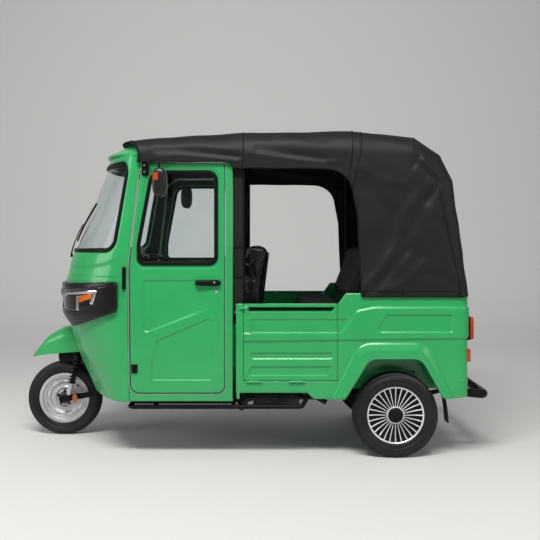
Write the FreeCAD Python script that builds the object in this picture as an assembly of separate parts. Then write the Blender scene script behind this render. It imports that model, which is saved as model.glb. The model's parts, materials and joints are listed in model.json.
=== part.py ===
import FreeCAD, Part
import math
import os

# An enclosed three-wheeled taxi with a canvas roof. Lengths are in millimetres. Stations run
# rearwards (+X) from the front axle, +Y is the vehicle's right, +Z is up from the ground. The
# finished pieces are shifted so that the origin is under the middle of the whole vehicle.

# Wheels
WHEELBASE = 2170.0
FRONT_TYRE_R = 250.0
REAR_TYRE_R = 259.0
FRONT_TYRE_W = 95.0
REAR_TYRE_W = 110.0
RIM_SEAT_R = 152.0
RIM_FLANGE_R = 170.0
RIM_WIDTH = 76.0
RIM_WALL = 5.0
AXLE_R = 11.0
HUB_BORE_GAP = 0.4

# Steering
RAKE_DEG = 25.0
GROUND_TRAIL = 80.0
COLUMN_R = 20.0
BEARING_GAP = 0.4
HEAD_TUBE_WALL = 10.0
FORK_HALF = 88.0
FORK_TUBE_R = 15.0
LINK_PIVOT = (205.0, 290.0)
CROWN_Z = 610.0
DAMPER_TOP = (94.0, 556.0)
DAMPER_FOOT = (41.0, 298.0)
DAMPER_HALF = 112.0
DAMPER_R = 24.0
COILS = 8
BAR_Z = 1205.0
BAR_HALF = 320.0
BAR_R = 13.0

# Cab
CAB_HALF = 620.0
CAB_WALL = 25.0
SEAM_GAP = 6.0
FIT_GAP = 0.3
CAB_BOTTOM_Z = 345.0
RAIL_TOP_Z = 1845.0
DOOR_FRONT = ((554.0, 398.0), (530.0, 1163.0), (604.0, 1792.0))
DOOR_REAR_X = 1143.0
DOOR_WALL = 35.0
DOOR_STOP = 15.0
PILLAR_REAR_X = 1183.0
FRAME_DEPTH = 60.0
GLASS_T = 6.0
SCREEN_LOW_Z = 1262.0
SCREEN_TOP_Z = 1806.0
SCREEN_HALF_LOW = CAB_HALF - 38.0
SCREEN_HALF_TOP = CAB_HALF - 65.0
SEAL_W = 24.0
FLOOR_T = 20.0
WELL_HALF = 240.0
ARCH_TOP_Z = 752.0
DASH_HALF = CAB_HALF - 60.0
ENGINE = (910.0, 1145.0)
# How far the door's glass lies behind its skin, and how far its edge enters the door.
GLASS_IN = 14.0
GLASS_LAP = 8.0
HINGE_X = 536.0
HINGE_Y = -CAB_HALF - 12
HINGE_LOW_Z = (520.0, 1100.0)
# How deep the pressed panels lie.
PRESS_T = 5.0

# The peak over the windscreen: rise per length, lip at the middle and at the sides.
PEAK_RISE = 0.5
PEAK_LIP = (309.0, 1875.0)
PEAK_SIDE_Z = 1849.0
PEAK_DEPTH = 325.0
PEAK_T = 18.0

# Rear body
TUB_HALF = CAB_HALF + 10.0
REAR_TRACK_HALF = TUB_HALF - 72.0
TUB_WALL = 30.0
TUB_FRONT_X = 1200.0
TUB_REAR_X = WHEELBASE + 442.0
TUB_LOW_Z = 400.0
TUB_TOP_Z = 986.0
GATE_TOP_Z = 939.0
GATE_FRONT_X = 1251.0
GATE_REAR_LOW_X = WHEELBASE - 363.0
GATE_REAR_TOP_X = WHEELBASE - 389.0
GATE_LOW_Z = 478.0
GATE_PIN_Z = 470.0
GATE_PIN_OUT = 7.0
PLATE_HALF = 170.0
PLATE_PAD_T = 4.0
PLATE_Z = (640.0, 760.0)
FLARE_OUT = 24.0
FLAP_TOP_Z = 371.2
RAIL_END_X = TUB_REAR_X + 28.0
KNUCKLES_X = (1308.0, 1568.0)
TUB_FLOOR_Z = 475.0
SEAT_BOX_Z = 770.0
SEAT_BOX_HALF = 235.0
RAIL_OUT = 320.0
RAIL_IN = 270.0
SPRING_HALF = 370.0
STAY_X = 470.0
STAY_HALF = 60.0
STAY_R = 14.0
BENCH_TOP_Z = 925.0
CUSHION_T = 95.0

# Canvas
CANVAS_T = 12.0
CANVAS_HALF = TUB_HALF + 13.0
CANVAS_LOW_Z = 976.0

HOOP_R = 12.5
RAIL_R = 11.0

# Overall
BUMPER_X = TUB_REAR_X + 146.0
BUMPER_R = 21.0
CENTRE_X = (BUMPER_X + BUMPER_R - FRONT_TYRE_R) / 2

RAKE = math.radians(RAKE_DEG)


def V(x, y, z):
    return FreeCAD.Vector(x, y, z)


def aft(x):
    """A station behind the rear axle."""
    return WHEELBASE + x


def steer_point(z, y=0.0):
    """The point of the steering axis at height z."""
    return V(-GROUND_TRAIL + z * math.tan(RAKE), y, z)


def unit(vector):
    return vector * (1.0 / vector.Length)


def rounded_wire(points, radii, closed=True):
    """Straight runs joined by tangent arcs, one radius for each corner."""
    count = len(points)
    turns = []
    for i, point in enumerate(points):
        if radii[i] <= 0 or (not closed and i in (0, count - 1)):
            turns.append((point, None, point))
            continue
        back = unit(points[i - 1] - point)
        ahead = unit(points[(i + 1) % count] - point)
        half = back.getAngle(ahead) / 2
        middle = unit(back + ahead)
        cut = radii[i] / math.tan(half)
        top = point + middle * (radii[i] / math.sin(half) - radii[i])
        turns.append((point + back * cut, top, point + ahead * cut))
    edges = []
    for i, (start, top, end) in enumerate(turns):
        if top is not None:
            edges.append(Part.Arc(start, top, end).toShape())
        if closed or i < count - 1:
            following = turns[(i + 1) % count][0]
            if (following - end).Length > 0.001:
                edges.append(Part.LineSegment(end, following).toShape())
    return Part.Wire(edges)


def plate(plane, corners, low, high):
    """A flat outline of (u, v, corner radius), given its thickness along the third axis."""
    place = {
        "xz": lambda u, v: V(u, low, v),
        "xy": lambda u, v: V(u, v, low),
        "yz": lambda u, v: V(low, u, v),
    }[plane]
    along = {"xz": V(0, 1, 0), "xy": V(0, 0, 1), "yz": V(1, 0, 0)}[plane]
    wire = rounded_wire([place(c[0], c[1]) for c in corners], [c[2] for c in corners])
    return Part.Face(wire).extrude(along * (high - low))


def box(x0, x1, y0, y1, z0, z1):
    return Part.makeBox(x1 - x0, y1 - y0, z1 - z0, V(x0, y0, z0))


def rod(start, end, radius):
    return Part.makeCylinder(radius, (end - start).Length, start, end - start)


def tube(points, radius, bend):
    """A round bar along straight runs, with every bend of one radius."""
    path = rounded_wire(points, [bend] * len(points), closed=False)
    ring = Part.Wire(Part.makeCircle(radius, points[0], points[1] - points[0]))
    return path.makePipeShell([ring], True, False)


def mirrored(shape):
    return shape.mirror(V(0, 0, 0), V(0, 1, 0))


def fuse(shapes):
    """One solid of several that touch or overlap."""
    whole = shapes[0].fuse(shapes[1:]) if len(shapes) > 1 else shapes[0]
    return whole.removeSplitter()


def both_sides(shape):
    """The left and right copies, as solids that stay apart."""
    return Part.makeCompound([shape, mirrored(shape)])


def turned_ring(corners, x, y, z):
    """A ring about a cross axis through (x, y, z): corners are (radius, offset, rounding)."""
    points = [V(0, c[1], c[0]) for c in corners]
    face = Part.Face(rounded_wire(points, [c[2] for c in corners]))
    ring = face.revolve(V(0, 0, 0), V(0, 1, 0), 360)
    ring.translate(V(x, y, z))
    return ring


# Plan sections of the nose: height, station at the middle, station where the side goes straight.
NOSE = (
    (345.0, 240.0, 484.0),
    (560.0, 133.0, 472.0),
    (760.0, 62.0, 462.0),
    (870.0, 30.0, 460.0),
    (1060.0, 18.0, 460.0),
    (1246.0, 76.0, 480.0),
    (1900.0, 349.0, 575.0),
)


def nose_section(z, front, side, inset, rear):
    """A plan section: a front arc, straight sides and a straight back, inset all round."""
    radius = (CAB_HALF ** 2 + (side - front) ** 2) / (2 * (side - front))
    centre = front + radius
    half = CAB_HALF - inset
    turn = centre - math.sqrt((radius - inset) ** 2 - half ** 2)
    a, b, c, d = V(rear, -half, z), V(turn, -half, z), V(turn, half, z), V(rear, half, z)
    return Part.Wire([
        Part.LineSegment(a, b).toShape(),
        Part.Arc(b, V(front + inset, 0, z), c).toShape(),
        Part.LineSegment(c, d).toShape(),
        Part.LineSegment(d, a).toShape(),
    ])


def nose_body(inset, rear, low=0, high=len(NOSE)):
    """The nose as a solid, its skin moved inwards by inset."""
    wires = [nose_section(z, f, s, inset, rear) for z, f, s in NOSE[low:high]]
    return Part.makeLoft(wires, True, True)


def nose_front(z):
    """The station of the nose's middle at height z."""
    for (z0, f0, _), (z1, f1, _) in zip(NOSE, NOSE[1:]):
        if z0 <= z <= z1:
            return f0 + (f1 - f0) * (z - z0) / (z1 - z0)
    return NOSE[0][1]


def seam_trim():
    """Everything behind the door's front seam."""
    (x0, z0), (x1, z1), (x2, z2) = DOOR_FRONT
    lean = (x2 - x1) / (z2 - z1)
    top = 2100.0
    return plate("xz", [
        (x0 - SEAM_GAP, 100.0, 0), (x0 - SEAM_GAP, z0, 0), (x1 - SEAM_GAP, z1, 0),
        (x2 - SEAM_GAP, z2, 0), (x2 - SEAM_GAP + lean * (top - z2), top, 0),
        (BUMPER_X, top, 0), (BUMPER_X, 100.0, 0)], -900, 900)


def screen_outline(shrink):
    """The windscreen opening seen from the front, drawn in by shrink."""
    low, top = SCREEN_LOW_Z + shrink, SCREEN_TOP_Z - shrink
    wide, narrow = SCREEN_HALF_LOW - shrink, SCREEN_HALF_TOP - shrink
    turn = 70.0 - shrink / 2
    return [(-wide, low, turn), (wide, low, turn), (narrow, top, turn), (-narrow, top, turn)]


def front_cowl():
    """The nose panel with its screen opening and the open front wheel arch."""
    shell = nose_body(0, 700).cut(nose_body(CAB_WALL, 760))
    shell = shell.cut(seam_trim())
    shell = shell.cut(plate("yz", screen_outline(0), -100, 592))
    arch = [(-WELL_HALF, 200, 0), (WELL_HALF, 200, 0), (WELL_HALF - 20, ARCH_TOP_Z, 60),
            (20 - WELL_HALF, ARCH_TOP_Z, 60)]
    shell = shell.cut(plate("yz", arch, -100, 480))
    above = box(-300, 900, -900, 900, 1790, 2100).cut(peak_solid(-PEAK_T - FIT_GAP))
    return shell.cut(above)


def windscreen():
    depth = 10.0
    skin = nose_body(depth, 620, 5, 7).cut(nose_body(depth + GLASS_T, 640, 5, 7))
    return skin.common(plate("yz", screen_outline(SEAL_W / 2), -100, 580))


def windscreen_seal():
    proud = 4.0
    ring = plate("yz", screen_outline(FIT_GAP), -100, 580)
    ring = ring.cut(plate("yz", screen_outline(SEAL_W), -100, 590))
    skin = nose_body(-proud, 620, 5, 7).cut(nose_body(CAB_WALL - 2, 640, 5, 7))
    pane = nose_body(10 - FIT_GAP, 620, 5, 7).cut(nose_body(10 + GLASS_T + FIT_GAP, 640, 5, 7))
    groove = pane.common(plate("yz", screen_outline(SEAL_W / 2 - FIT_GAP), -100, 590))
    return skin.common(ring).cut(groove)


def peak_solid(lift):
    """The volume under the peak's top face, raised by lift."""
    wires = []
    for z in (1800.0, 1990.0):
        front = PEAK_LIP[0] + (z - PEAK_LIP[1]) / PEAK_RISE
        wires.append(nose_section(z + lift, front, front + PEAK_DEPTH, 0, 1000))
    return Part.makeLoft(wires, True, True)


def canvas_front(offset):
    """Everything ahead of the canvas's front edge, which is an arc in plan."""
    half = CANVAS_HALF + 9
    a, b, c = V(612 + offset, -half, 0), V(420 + offset, 0, 0), V(612 + offset, half, 0)
    far_left, far_right = V(-400, -900, 0), V(-400, 900, 0)
    left, right = V(612 + offset, -900, 0), V(612 + offset, 900, 0)
    face = Part.Face(Part.Wire([
        Part.Arc(a, b, c).toShape(), Part.LineSegment(c, right).toShape(),
        Part.LineSegment(right, far_right).toShape(), Part.LineSegment(far_right, far_left).toShape(),
        Part.LineSegment(far_left, left).toShape(), Part.LineSegment(left, a).toShape()]))
    return face.extrude(V(0, 0, 3000))


def visor():
    """The green peak over the screen, running back under the canvas."""
    peak = peak_solid(0).cut(peak_solid(-PEAK_T))
    lip = [V(-200, -CAB_HALF, PEAK_SIDE_Z), V(-200, 0, PEAK_LIP[1]), V(-200, CAB_HALF, PEAK_SIDE_Z)]
    under = Part.Face(Part.Wire([
        Part.Arc(*lip).toShape(), Part.LineSegment(lip[2], V(-200, CAB_HALF, 1500)).toShape(),
        Part.LineSegment(V(-200, CAB_HALF, 1500), V(-200, -CAB_HALF, 1500)).toShape(),
        Part.LineSegment(V(-200, -CAB_HALF, 1500), lip[0]).toShape()])).extrude(V(1300, 0, 0))
    peak = peak.cut(under).common(canvas_front(40))
    return peak.common(box(0, 900, 0.5 - CAB_HALF, CAB_HALF - 0.5, 1800, 2000))


# The lamp panel seen from the side: station, height and corner radius.
LAMP_PANEL = ((-80.0, 1044.0, 0), (464.0, 1074.0, 30), (462.0, 858.0, 45), (140.0, 778.0, 12),
              (60.0, 846.0, 20), (-80.0, 862.0, 0))
LAMP_GLASS = ((96.0, 1000.0, 8), (352.0, 1016.0, 8), (330.0, 922.0, 8), (190.0, 900.0, 8),
              (120.0, 940.0, 8))
PANEL_OUT = 32.0
POCKET_OUT = 12.0
LENS_OUT = 26.0


def nose_skin(inner, outer):
    """A layer lying on the nose, between two distances from its skin."""
    return nose_body(-outer, 520, 2, 6).cut(nose_body(-inner, 560, 2, 6))


def lamp_panel():
    band = nose_skin(FIT_GAP, PANEL_OUT).common(plate("xz", LAMP_PANEL, -800, 800))
    pocket = nose_skin(POCKET_OUT, PANEL_OUT + 5).common(plate("xz", LAMP_GLASS, -800, 800))
    return band.cut(pocket.cut(box(-200, 600, -280, 280, 500, 1500)))


def lamp_units():
    glass = plate("xz", LAMP_GLASS, -800, 800)
    units = nose_skin(POCKET_OUT + FIT_GAP, LENS_OUT).common(glass)
    units = units.cut(box(-200, 600, -281, 281, 500, 1500))
    return Part.makeCompound(units.Solids)


def cab_floor():
    """The floor pan with the front wheel housing rising from it."""
    floor = box(250, 535, CAB_WALL - CAB_HALF, CAB_HALF - CAB_WALL, CAB_BOTTOM_Z, CAB_BOTTOM_Z + FLOOR_T)
    side = CAB_HALF - FRAME_DEPTH - FIT_GAP
    floor = floor.fuse(box(500, PILLAR_REAR_X, -side, side, CAB_BOTTOM_Z, CAB_BOTTOM_Z + FLOOR_T))
    floor = floor.cut(box(ENGINE[0] - 20, ENGINE[1] + 12, -200, 200, 300, 400))
    for y in (-STAY_HALF, STAY_HALF):
        floor = floor.cut(rod(V(STAY_X, y, 300), V(STAY_X, y, 400), STAY_R + FIT_GAP))
    roof = [(-100, 795, 0), (340, 815, 40), (450, 700, 60), (450, CAB_BOTTOM_Z, 0), (-100, CAB_BOTTOM_Z, 0)]
    room = [(-100, 775, 0), (332, 795, 30), (430, 690, 50), (430, 200, 0), (-100, 200, 0)]
    housing = plate("xz", roof, -WELL_HALF - 20, WELL_HALF + 20)
    inside = plate("xz", room, -WELL_HALF, WELL_HALF)
    hole = rod(steer_point(600), steer_point(1000), COLUMN_R + 2 * HEAD_TUBE_WALL)
    pan = floor.fuse(housing).cut(inside).cut(hole)
    return pan.common(nose_body(CAB_WALL + FIT_GAP, 1300)).removeSplitter()


def dashboard():
    shape = [(60, 990, 0), (360, 990, 15), (376, 1110, 25), (330, 1190, 25), (60, 1236, 0)]
    room = [(0, 900, 0), (345, 900, 0), (345, 1095, 10), (300, 1160, 20), (0, 1200, 0)]
    shelf = plate("xz", shape, -DASH_HALF, DASH_HALF)
    shelf = shelf.cut(plate("xz", room, 20 - DASH_HALF, DASH_HALF - 20))
    shelf = shelf.cut(plate("yz", [(-80, 900, 0), (80, 900, 0), (70, 1130, 30), (-70, 1130, 30)], 100, 400))
    return shelf.common(nose_body(CAB_WALL + FIT_GAP, 700))


def door_outline(grow, rear=DOOR_REAR_X):
    """The door seen from the side, made larger all round by grow."""
    (x0, z0), (x1, z1), (x2, z2) = DOOR_FRONT
    return [(x0 - grow, z0 - grow, 46 + grow), (rear + grow, z0 - grow, 46 + grow),
            (rear + grow, z2 + grow, 12 + grow), (x2 - grow, z2 + grow, 96 + grow),
            (x1 - grow, z1, 300)]


def window_outline(grow):
    return [(604 - grow, 1178 - grow, 40 + grow), (1084 + grow, 1178 - grow, 48 + grow),
            (1084 + grow, 1744 + grow, 58 + grow), (684 - grow, 1744 + grow, 80 + grow),
            (603 - grow, 1300, 160)]


def door_frame():
    """Sill, rear pillar, top rail and the inner flange that the left door shuts against."""
    (x0, _), (x1, z1), (x2, _) = DOOR_FRONT
    outer, inner = -CAB_HALF, FRAME_DEPTH - CAB_HALF
    back = CAB_WALL - CAB_HALF + FIT_GAP
    sill_z = CAB_BOTTOM_Z + 4
    ring = plate("xz", [(x0 - SEAM_GAP + FIT_GAP, sill_z, 0), (PILLAR_REAR_X, sill_z, 0),
                        (PILLAR_REAR_X, RAIL_TOP_Z, 0), (x2 + 2, RAIL_TOP_Z, 0), (x1, z1, 0)], outer, inner)
    jamb = plate("xz", [(x0 - 46, sill_z + FLOOR_T, 0), (x0 + 80, sill_z + FLOOR_T, 0),
                        (x2 + 140, RAIL_TOP_Z, 0), (x2 - 40, RAIL_TOP_Z, 0), (x1 - 44, z1, 0)], back, inner)
    stop = DOOR_WALL + SEAM_GAP
    skin = nose_body(-FIT_GAP, 700).cut(nose_body(CAB_WALL + FIT_GAP, 760)).cut(seam_trim())
    frame = ring.fuse(jamb).cut(skin)
    frame = frame.cut(plate("xz", door_outline(SEAM_GAP), outer - 1, outer + stop))
    frame = frame.cut(plate("xz", door_outline(-DOOR_STOP), outer + stop - 1, inner + 1))
    return frame.removeSplitter()


def door_panel():
    """The left door: a full panel with its window cut and its edges as thick as the door."""
    outer = -CAB_HALF
    door = plate("xz", door_outline(0), outer, outer + DOOR_WALL)
    door = door.cut(plate("xz", window_outline(0), outer - 1, outer + DOOR_WALL + 1))
    upper = [(640, 1078, 25), (640, 762, 30), (1064, 912, 30), (930, 1078, 60)]
    lower = [(716, 716, 30), (672, 478, 25), (1066, 478, 25), (1066, 850, 30)]
    for outline in (upper, lower):
        door = door.cut(plate("xz", outline, outer - 1, outer + PRESS_T))
    handle = plate("xy", [
        (958, outer - 24, 4), (1102, outer - 24, 4), (1102, outer - 14, 4), (958, outer - 14, 4)], 1056, 1076)
    posts = [box(x, x + 22, outer - 20, outer + 4, 1058, 1074) for x in (966, 1072)]
    pins = [rod(V(HINGE_X, HINGE_Y, z), V(HINGE_X, HINGE_Y, z + 60), 8) for z in HINGE_LOW_Z]
    leaves = [box(HINGE_X, HINGE_X + 52, outer - 16, outer - 10, z + 4, z + 56) for z in HINGE_LOW_Z]
    leaves += [box(HINGE_X + 26, HINGE_X + 52, outer - 12, outer + 2, z + 4, z + 56) for z in HINGE_LOW_Z]
    groove = plate("xz", window_outline(GLASS_LAP + FIT_GAP), outer + GLASS_IN - FIT_GAP,
                   outer + GLASS_IN + GLASS_T + FIT_GAP)
    return fuse([door.cut(groove), handle] + posts + pins + leaves)


def door_glass():
    return plate("xz", window_outline(GLASS_LAP), GLASS_IN - CAB_HALF, GLASS_IN - CAB_HALF + GLASS_T)


def hinge_straps():
    """The body halves of the left door's two hinges."""
    parts = []
    for z in HINGE_LOW_Z:
        lows = (z - FIT_GAP - 24, z + 60 + FIT_GAP)
        knuckles = [rod(V(HINGE_X, HINGE_Y, low), V(HINGE_X, HINGE_Y, low + 24), 8) for low in lows]
        strap = box(HINGE_X - 18, HINGE_X - 10, HINGE_Y - 6, -CAB_HALF, lows[0], lows[1] + 24)
        arms = [box(HINGE_X - 18, HINGE_X, HINGE_Y - 4, HINGE_Y + 4, low, low + 24) for low in lows]
        parts.append(fuse([strap] + knuckles + arms))
    return Part.makeCompound(parts)


def mirror_left():
    """A long oval mirror hanging from the door's top front corner."""
    out = -CAB_HALF
    foot = plate("xz", [(628, 1700, 10), (662, 1700, 10), (676, 1776, 10), (640, 1776, 10)], out - 14, out)
    arm = tube([V(652, out - 8, 1740), V(668, out - 60, 1800), V(745, out - 95, 1826),
                V(745, out - 95, 1740)], 7, 22)
    head = plate("xz", [(702, 1578, 44), (796, 1578, 44), (800, 1752, 38), (706, 1752, 38)],
                 out - 118, out - 78)
    return fuse([foot, arm, head])


# Canvas sections: station, height at the shoulder, height at the crown, shoulder radius, lowest edge.
CANVAS = (
    (400.0, 1932.0, 1968.0, 60.0, 1500.0),
    (620.0, 1950.0, 1990.0, 66.0, 1300.0),
    (1223.0, 1983.0, 2022.0, 74.0, 976.0),
    (aft(-254.0), 1998.0, 2036.0, 80.0, 976.0),
    (aft(111.0), 1952.0, 1985.0, 95.0, 976.0),
    (aft(269.0), 1833.0, 1850.0, 95.0, 976.0),
    (aft(348.0), 1675.0, 1684.0, 80.0, 976.0),
    (aft(454.0), 1000.0, 1003.0, 20.0, 950.0),
)


def canvas_body(inset):
    """The roof as a closed form, its skin moved inwards by inset."""
    wires = []
    last = len(CANVAS) - 1
    for i, (x, shoulder, crown, turn, low) in enumerate(CANVAS):
        slope = 0.0
        if i:
            before = CANVAS[i - 1]
            slope = math.atan2(before[1] - shoulder, x - before[0])
        back = inset * max(0.0, math.sin(slope))
        down = inset * max(0.25, math.cos(slope))
        half = CANVAS_HALF - inset
        x, shoulder, crown = x - back, shoulder - down, crown - down
        if i == 0:
            x -= inset
        low = low - 30 if inset else low
        turn = max(turn - inset, 6.0)
        bend = turn * (1 - math.sqrt(0.5))
        p = [V(x, -half, low), V(x, -half, shoulder - turn), V(x, turn - half, shoulder),
             V(x, half - turn, shoulder), V(x, half, shoulder - turn), V(x, half, low)]
        wires.append(Part.Wire([
            Part.LineSegment(p[0], p[1]).toShape(),
            Part.Arc(p[1], V(x, bend - half, shoulder - bend), p[2]).toShape(),
            Part.Arc(p[2], V(x, 0, crown), p[3]).toShape(),
            Part.Arc(p[3], V(x, half - bend, shoulder - bend), p[4]).toShape(),
            Part.LineSegment(p[4], p[5]).toShape(),
            Part.LineSegment(p[5], p[0]).toShape()]))
    return Part.makeLoft(wires, True, True)


def side_opening():
    """What the canvas leaves open over the door and beside the passengers."""
    return plate("xz", [
        (200, 700, 0), (aft(-211), 700, 0), (aft(-227), 1265, 400), (aft(-234), 1470, 200),
        (aft(-290), 1757, 165), (1188, 1764, 20), (1160, 1801, 20), (200, 1801, 0)], -900, 900)


def canopy():
    cloth = canvas_body(0).cut(canvas_front(0))
    room = canvas_body(CANVAS_T).cut(canvas_front(CANVAS_T))
    cloth = cloth.cut(room)
    cloth = cloth.cut(peak_solid(0.5).common(canvas_front(CANVAS_T + 1)))
    cloth = cloth.cut(side_opening())
    return cloth.cut(box(0, 3000, -900, 900, 0, CANVAS_LOW_Z))


# Stations of the roof's cross tubes.
HOOPS = (640.0, TUB_FRONT_X + 40.0, aft(-370.0), aft(90.0))


def canvas_height(x):
    """Shoulder height of the canvas at a station."""
    for (x0, z0, *_), (x1, z1, *_) in zip(CANVAS, CANVAS[1:]):
        if x0 <= x <= x1:
            return z0 + (z1 - z0) * (x - x0) / (x1 - x0)
    return CANVAS[-1][1]


def roof_frame():
    """Tube hoops and rails that carry the canvas, with posts down to the body."""
    half = CANVAS_HALF - 85
    drop = CANVAS_T + HOOP_R + 3
    pieces = []
    for x in HOOPS:
        z = canvas_height(x) - drop
        pieces.append(rod(V(x, -half, z), V(x, half, z), HOOP_R))
    for side in (-1, 1):
        rail = [V(x, side * half, canvas_height(x) - drop) for x in (600.0, 1223.0, aft(-254), aft(95))]
        pieces.append(tube(rail, RAIL_R, 30))
        for x, foot in ((HOOPS[1], TUB_FLOOR_Z + FIT_GAP), (aft(-180), BENCH_TOP_Z - CUSHION_T + FIT_GAP)):
            top = V(x, side * half, canvas_height(x) - drop)
            knee = V(x, side * (TUB_HALF - TUB_WALL - 16), canvas_height(x) - drop - 170)
            pieces.append(tube([top, knee, V(knee.x, knee.y, foot)], HOOP_R, 60))
        rear = [V(aft(92), side * half, canvas_height(aft(92)) - drop), V(aft(230), side * half, 1825),
                V(aft(318), side * half, 1640), V(aft(390), side * half, 960),
                V(aft(396), side * half, TUB_FLOOR_Z + FIT_GAP)]
        pieces.append(tube(rear, RAIL_R, 60))
    pieces.append(rod(V(aft(318), -half, 1640), V(aft(318), half, 1640), HOOP_R))
    return fuse(pieces)


# The wheel opening in the rear body's side, and the raised flare round it, from the rear axle.
ARCH_HOLE = ((aft(-320.0), 352.0, 0), (aft(-202.0), 566.0, 60), (aft(-146.0), 608.0, 60),
             (aft(92.0), 608.0, 60), (aft(168.0), 570.0, 60), (aft(321.0), 352.0, 0))
FLARE = ((aft(-390.0), 366.0, 0), (aft(-244.0), 630.0, 90), (aft(-158.0), 703.0, 90),
         (aft(116.0), 703.0, 90), (aft(202.0), 640.0, 90), (aft(350.0), 372.0, 0))


def rear_side():
    """The left wall of the rear body with its gate opening, ledge, pressings and wheel flare."""
    outer = -TUB_HALF
    wall = plate("xz", [
        (TUB_FRONT_X, TUB_LOW_Z, 0), (aft(-529), TUB_LOW_Z, 10), (aft(-482), 366, 10), (aft(-390), 366, 0),
        (aft(350), 372, 0), (TUB_REAR_X, 380, 0), (TUB_REAR_X, TUB_TOP_Z, 0), (aft(-296), TUB_TOP_Z, 20),
        (aft(-358), GATE_TOP_Z, 20), (TUB_FRONT_X, GATE_TOP_Z, 0)], outer, outer + TUB_WALL)
    flare = plate("xz", FLARE, outer - FLARE_OUT, outer + TUB_WALL)
    flare = flare.cut(plate("xz", [(x + dx, z + dz, r) for (x, z, r), (dx, dz) in zip(
        ARCH_HOLE, ((-48, -30), (-36, 20), (-12, 48), (12, 48), (34, 24), (52, -30)))],
        outer - FLARE_OUT - 1, outer - FLARE_OUT + 10))
    wall = wall.fuse(flare)
    wall = wall.cut(plate("xz", ARCH_HOLE, outer - 60, outer + TUB_WALL + 1))
    wall = wall.cut(gate_opening())
    recess = [(aft(-60), 874, 12), (aft(-122), 772, 12), (aft(342), 772, 12), (aft(342), 874, 12)]
    return wall.cut(plate("xz", recess, outer - 1, outer + PRESS_T))


def gate_opening():
    gap = SEAM_GAP
    return plate("xz", [
        (GATE_FRONT_X - gap, GATE_LOW_Z - 10, 0), (GATE_REAR_LOW_X + gap, GATE_LOW_Z - 10, 0),
        (GATE_REAR_TOP_X + gap, GATE_TOP_Z + 20, 0), (GATE_FRONT_X - gap, GATE_TOP_Z + 20, 0)],
        -900, TUB_WALL + 1 - TUB_HALF)


def rear_tub():
    """The rear body: two sides, front and rear walls, floor, wheel boxes and the bench box."""
    side = rear_side()
    inner = TUB_HALF - TUB_WALL
    box_in = REAR_TRACK_HALF - 128
    wheel_box = plate("xz", [
        (aft(-340), 440, 0), (aft(-240), 640, 40), (aft(230), 640, 40), (aft(330), 440, 0)],
        -inner - 2, -box_in)
    wheel_room = plate("xz", [
        (aft(-325), 300, 0), (aft(-225), 622, 30), (aft(216), 622, 30), (aft(316), 300, 0)],
        -inner - 3, -box_in - 18)
    floor = box(TUB_FRONT_X, TUB_REAR_X - 10, -inner - 2, inner + 2, TUB_FLOOR_Z - 20, TUB_FLOOR_Z)
    rear = box(TUB_REAR_X - 24, TUB_REAR_X, -TUB_HALF, TUB_HALF, 380, TUB_TOP_Z)
    front = box(TUB_FRONT_X, TUB_FRONT_X + 20, -TUB_HALF + 2, TUB_HALF - 2, 365, 560)
    seat_z = BENCH_TOP_Z - CUSHION_T
    bench = plate("xz", [(aft(-530), TUB_FLOOR_Z - 5, 0), (aft(-560), seat_z, 20), (aft(-160), seat_z, 0),
                         (aft(-160), TUB_FLOOR_Z - 5, 0)], -inner - 2, inner + 2)
    under = plate("xz", [(aft(-510), 400, 0), (aft(-538), seat_z - 20, 10), (aft(-178), seat_z - 20, 0),
                         (aft(-178), 400, 0)], 20 - inner, inner - 20)
    sill = box(TUB_FRONT_X, aft(-350), -inner - 2, 20 - inner, TUB_LOW_Z, TUB_FLOOR_Z - 10)
    low, top = PLATE_Z
    half = PLATE_HALF
    pad = plate("yz", [(-half, low, 20), (half, low, 20), (half, top, 20), (-half, top, 20)],
                TUB_REAR_X - 1, TUB_REAR_X + PLATE_PAD_T)
    tub = fuse([floor, rear, front, bench.cut(under), side, mirrored(side), wheel_box, mirrored(wheel_box),
                sill, mirrored(sill), pad])
    tub = tub.cut(box(aft(-510), aft(-178), -300, 300, 440, 480))
    slot = RAIL_OUT + FIT_GAP
    tub = tub.cut(box(TUB_REAR_X - 40, TUB_REAR_X + 20, -slot, slot, 300, TUB_FLOOR_Z - FLOOR_T))
    tub = tub.cut(wheel_room).cut(mirrored(wheel_room))
    tub = tub.cut(gate_opening()).cut(mirrored(gate_opening()))
    knuckles = []
    pin_y = -TUB_HALF - GATE_PIN_OUT
    for x in KNUCKLES_X:
        for low in (x - 50, x + 30):
            pin = rod(V(low, pin_y, GATE_PIN_Z), V(low + 20, pin_y, GATE_PIN_Z), 6)
            web = box(low, low + 20, pin_y - 6, -TUB_HALF + 1, GATE_PIN_Z - 22, GATE_PIN_Z)
            knuckles += [pin.fuse(web), mirrored(pin.fuse(web))]
    return fuse([tub] + knuckles)


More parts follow.
